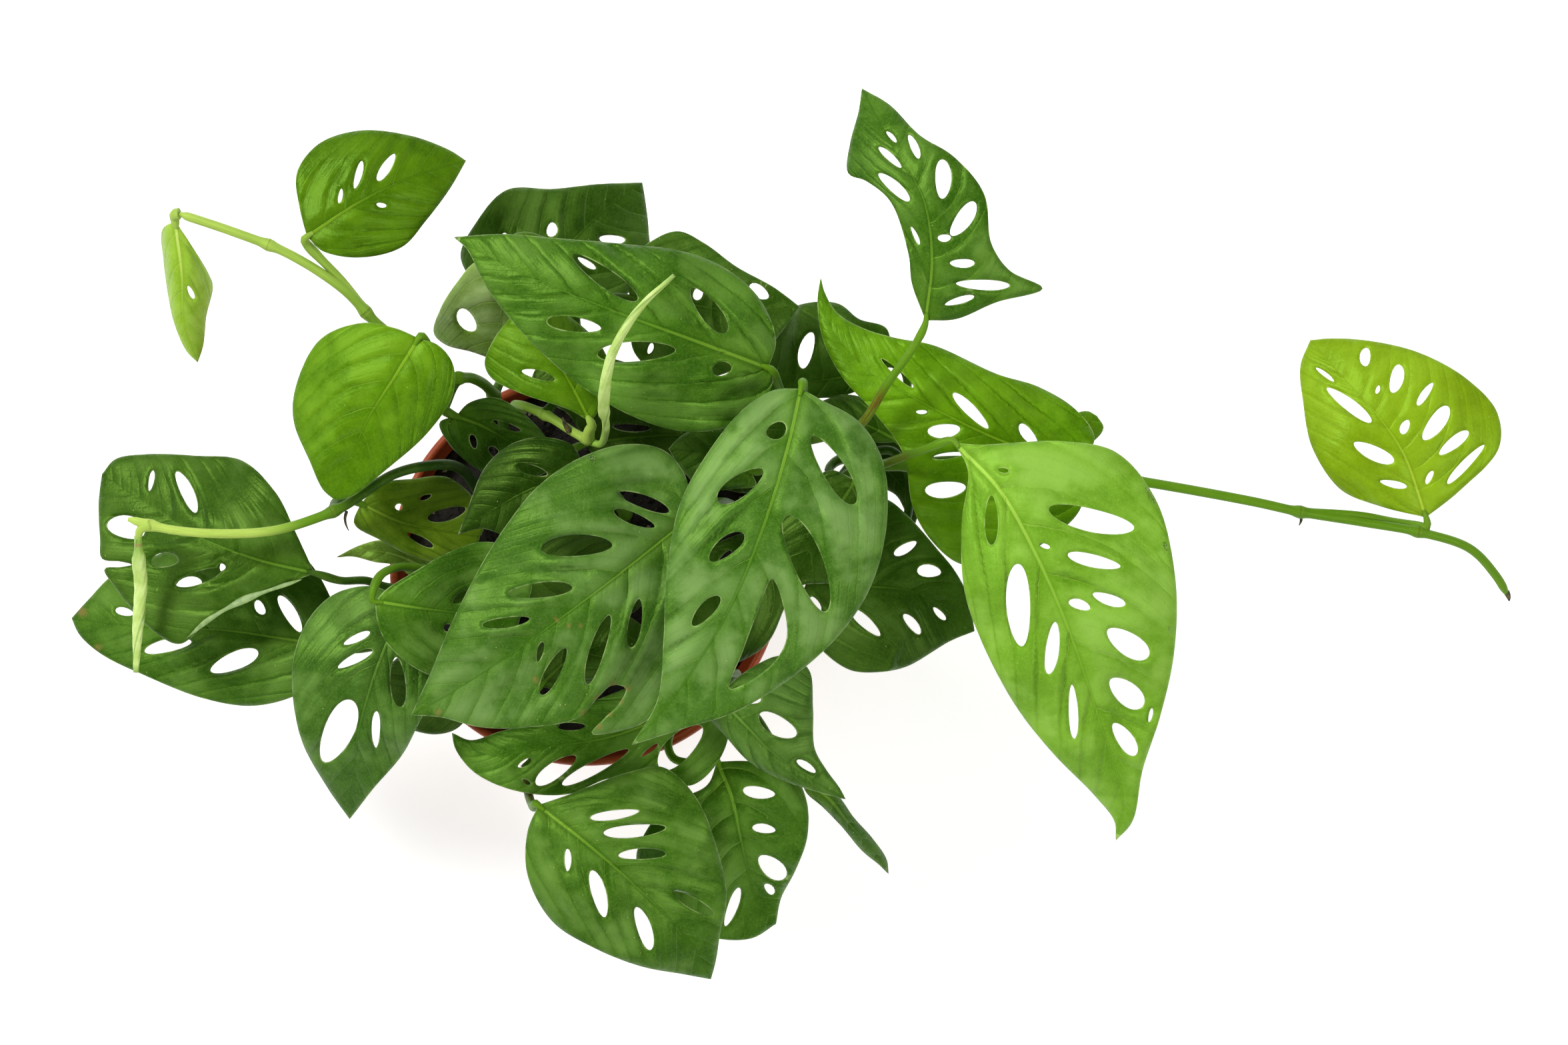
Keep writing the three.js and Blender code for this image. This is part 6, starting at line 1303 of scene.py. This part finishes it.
def makeDrops(name, form, material):
    spots, skin, levels, sides = [], [], 8, 24
    for x, y, long, wide, high, degrees in drops[name]:
        first = len(spots)
        for level in range(levels + 1):  # from the top to the foot
            a = math.pi * level / levels
            for k in range(sides if 0 < level < levels else 1):
                b = 2 * math.pi * k / sides
                ahead, aside = long / 2 * math.sin(a) * math.cos(b), wide / 2 * math.sin(a) * math.sin(b)
                px, py = turnedBy(degrees, x, y, ahead, aside)
                base = relief(form, np.array([[px, py]]))[0] + bladeShape["thickness"] * 0.4
                spots.append([px, py, base + (high if math.cos(a) > 0 else 0.12) * math.cos(a)])
        skin += tubeFaces(levels - 1, sides, first + 1, first, len(spots) - 1, flip=True)
    asPiece(name.replace("_leaf", "_drops"), meshFrom(name, spots, skin), material, "leaf_green")


# Studio: pale floor, a broad soft key light high in the north-west, a half as strong one in the east,
# weak ones round the horizon. Places in metres, then size in metres and power in watts.
studio = {"floor": 3.5, "sky": 0.13, "glow": 0.32, "aim": (0.06, 0.01, 0.15),
          "lights": [["key", (-1.35, 1.1, 1.95), 0.9, 54.0], ["east", (1.6, -0.55, 1.85), 1.0, 25.0],
                     ["west", (-1.7, -0.2, 1.35), 1.3, 11.0], ["south", (0.1, -1.7, 1.3), 1.3, 11.0],
                     ["north", (0.3, 1.8, 1.4), 1.3, 10.0]]}


def makeStudio():
    half, white, pale = studio["floor"] / mm, (1, 1, 1, 1), (0.9, 0.9, 0.9, 1)
    corners = [[-half, -half, 0], [half, -half, 0], [half, half, 0], [-half, half, 0]]
    floor = placed("floor", meshFrom("floor", corners, [(0, 1, 2, 3)]))
    paper, _, _ = newMaterial("floorPaper", pale, Base_Color=pale, Emission_Color=white, Roughness=0.9,
                              Emission_Strength=studio["glow"], Specular_IOR_Level=0.1)
    floor.data.materials.append(paper)
    for name, place, size, power in studio["lights"]:
        data = bpy.data.lights.new(name, "AREA")
        data.shape, data.size, data.energy = "DISK", size, power
        lamp = placed(name, data)
        lamp.location, lamp.visible_camera = place, False
        lamp.rotation_euler = (Vector(studio["aim"]) - Vector(place)).to_track_quat("-Z", "Y").to_euler()
    scene.world = bpy.data.worlds.new("sky")
    scene.world.use_nodes = True
    sky = scene.world.node_tree.nodes["Background"].inputs
    sky["Color"].default_value, sky["Strength"].default_value = white, studio["sky"]
    scene.view_settings.view_transform, scene.view_settings.look = "Standard", "None"


stemTubes = makeStemTubes()
stemSkin, spearSkin = makeStemSkin(), makeSpearSkin()

forms = {name: bladeForm(name, leaf) for name, leaf in leaves.items()}
for name, form in forms.items():
    makeBlade(form, makeLeafSkin(name, leaves[name]))
print("blades made:", len(forms))

for name, strands in vines.items():
    makeVine(name, strands, stemSkin)
for name, spear in rolled.items():
    makeRolled(name, spear, spearSkin)
print("stems and rolled leaves made:", len(vines) + len(rolled))

rootSkin = makeRootSkin()
for name, (points, thick) in roots.items():
    makeRoot(name, points, thick, rootSkin)
for name, fold in margins.items():
    makeMargin(name, fold, forms[name], makeMarginSkin())

makePot(makePotSkin())
peatSkin = makePeatSkin("peatSkin", paint(10, 7, 5), paint(28, 19, 13), 0.95)
crumbSkin = makePeatSkin("crumbSkin", paint(13, 9, 6), paint(36, 25, 17), 0.95)
grainSkin = makePeatSkin("grainSkin", paint(96, 84, 70), paint(150, 140, 122), 0.9)
bed, crumbTree = makeSoil(), makeCrumbTree()
asPiece("soil_bed", bed, peatSkin, "soil_peat", "soil")
for kind, skin in (("crumbs", crumbSkin), ("grains", grainSkin)):
    density, size, seed = soil[kind]
    loose = grown(bed, crumbTree, "soil_" + kind, Density=density, Size=size * mm, Seed=seed, Skin=skin)
    asPiece("soil_" + kind, loose, None, "soil_peat")
print("pot and peat made")

waterSkin, _, _ = newMaterial("waterSkin", (0.9, 0.95, 0.95, 0.4), Base_Color=(1, 1, 1, 1), Roughness=0.03,
                              IOR=1.33, Transmission_Weight=1.0)
for name in drops:
    makeDrops(name, forms[name], waterSkin)
makeStudio()
print("drops, floor and lights made")
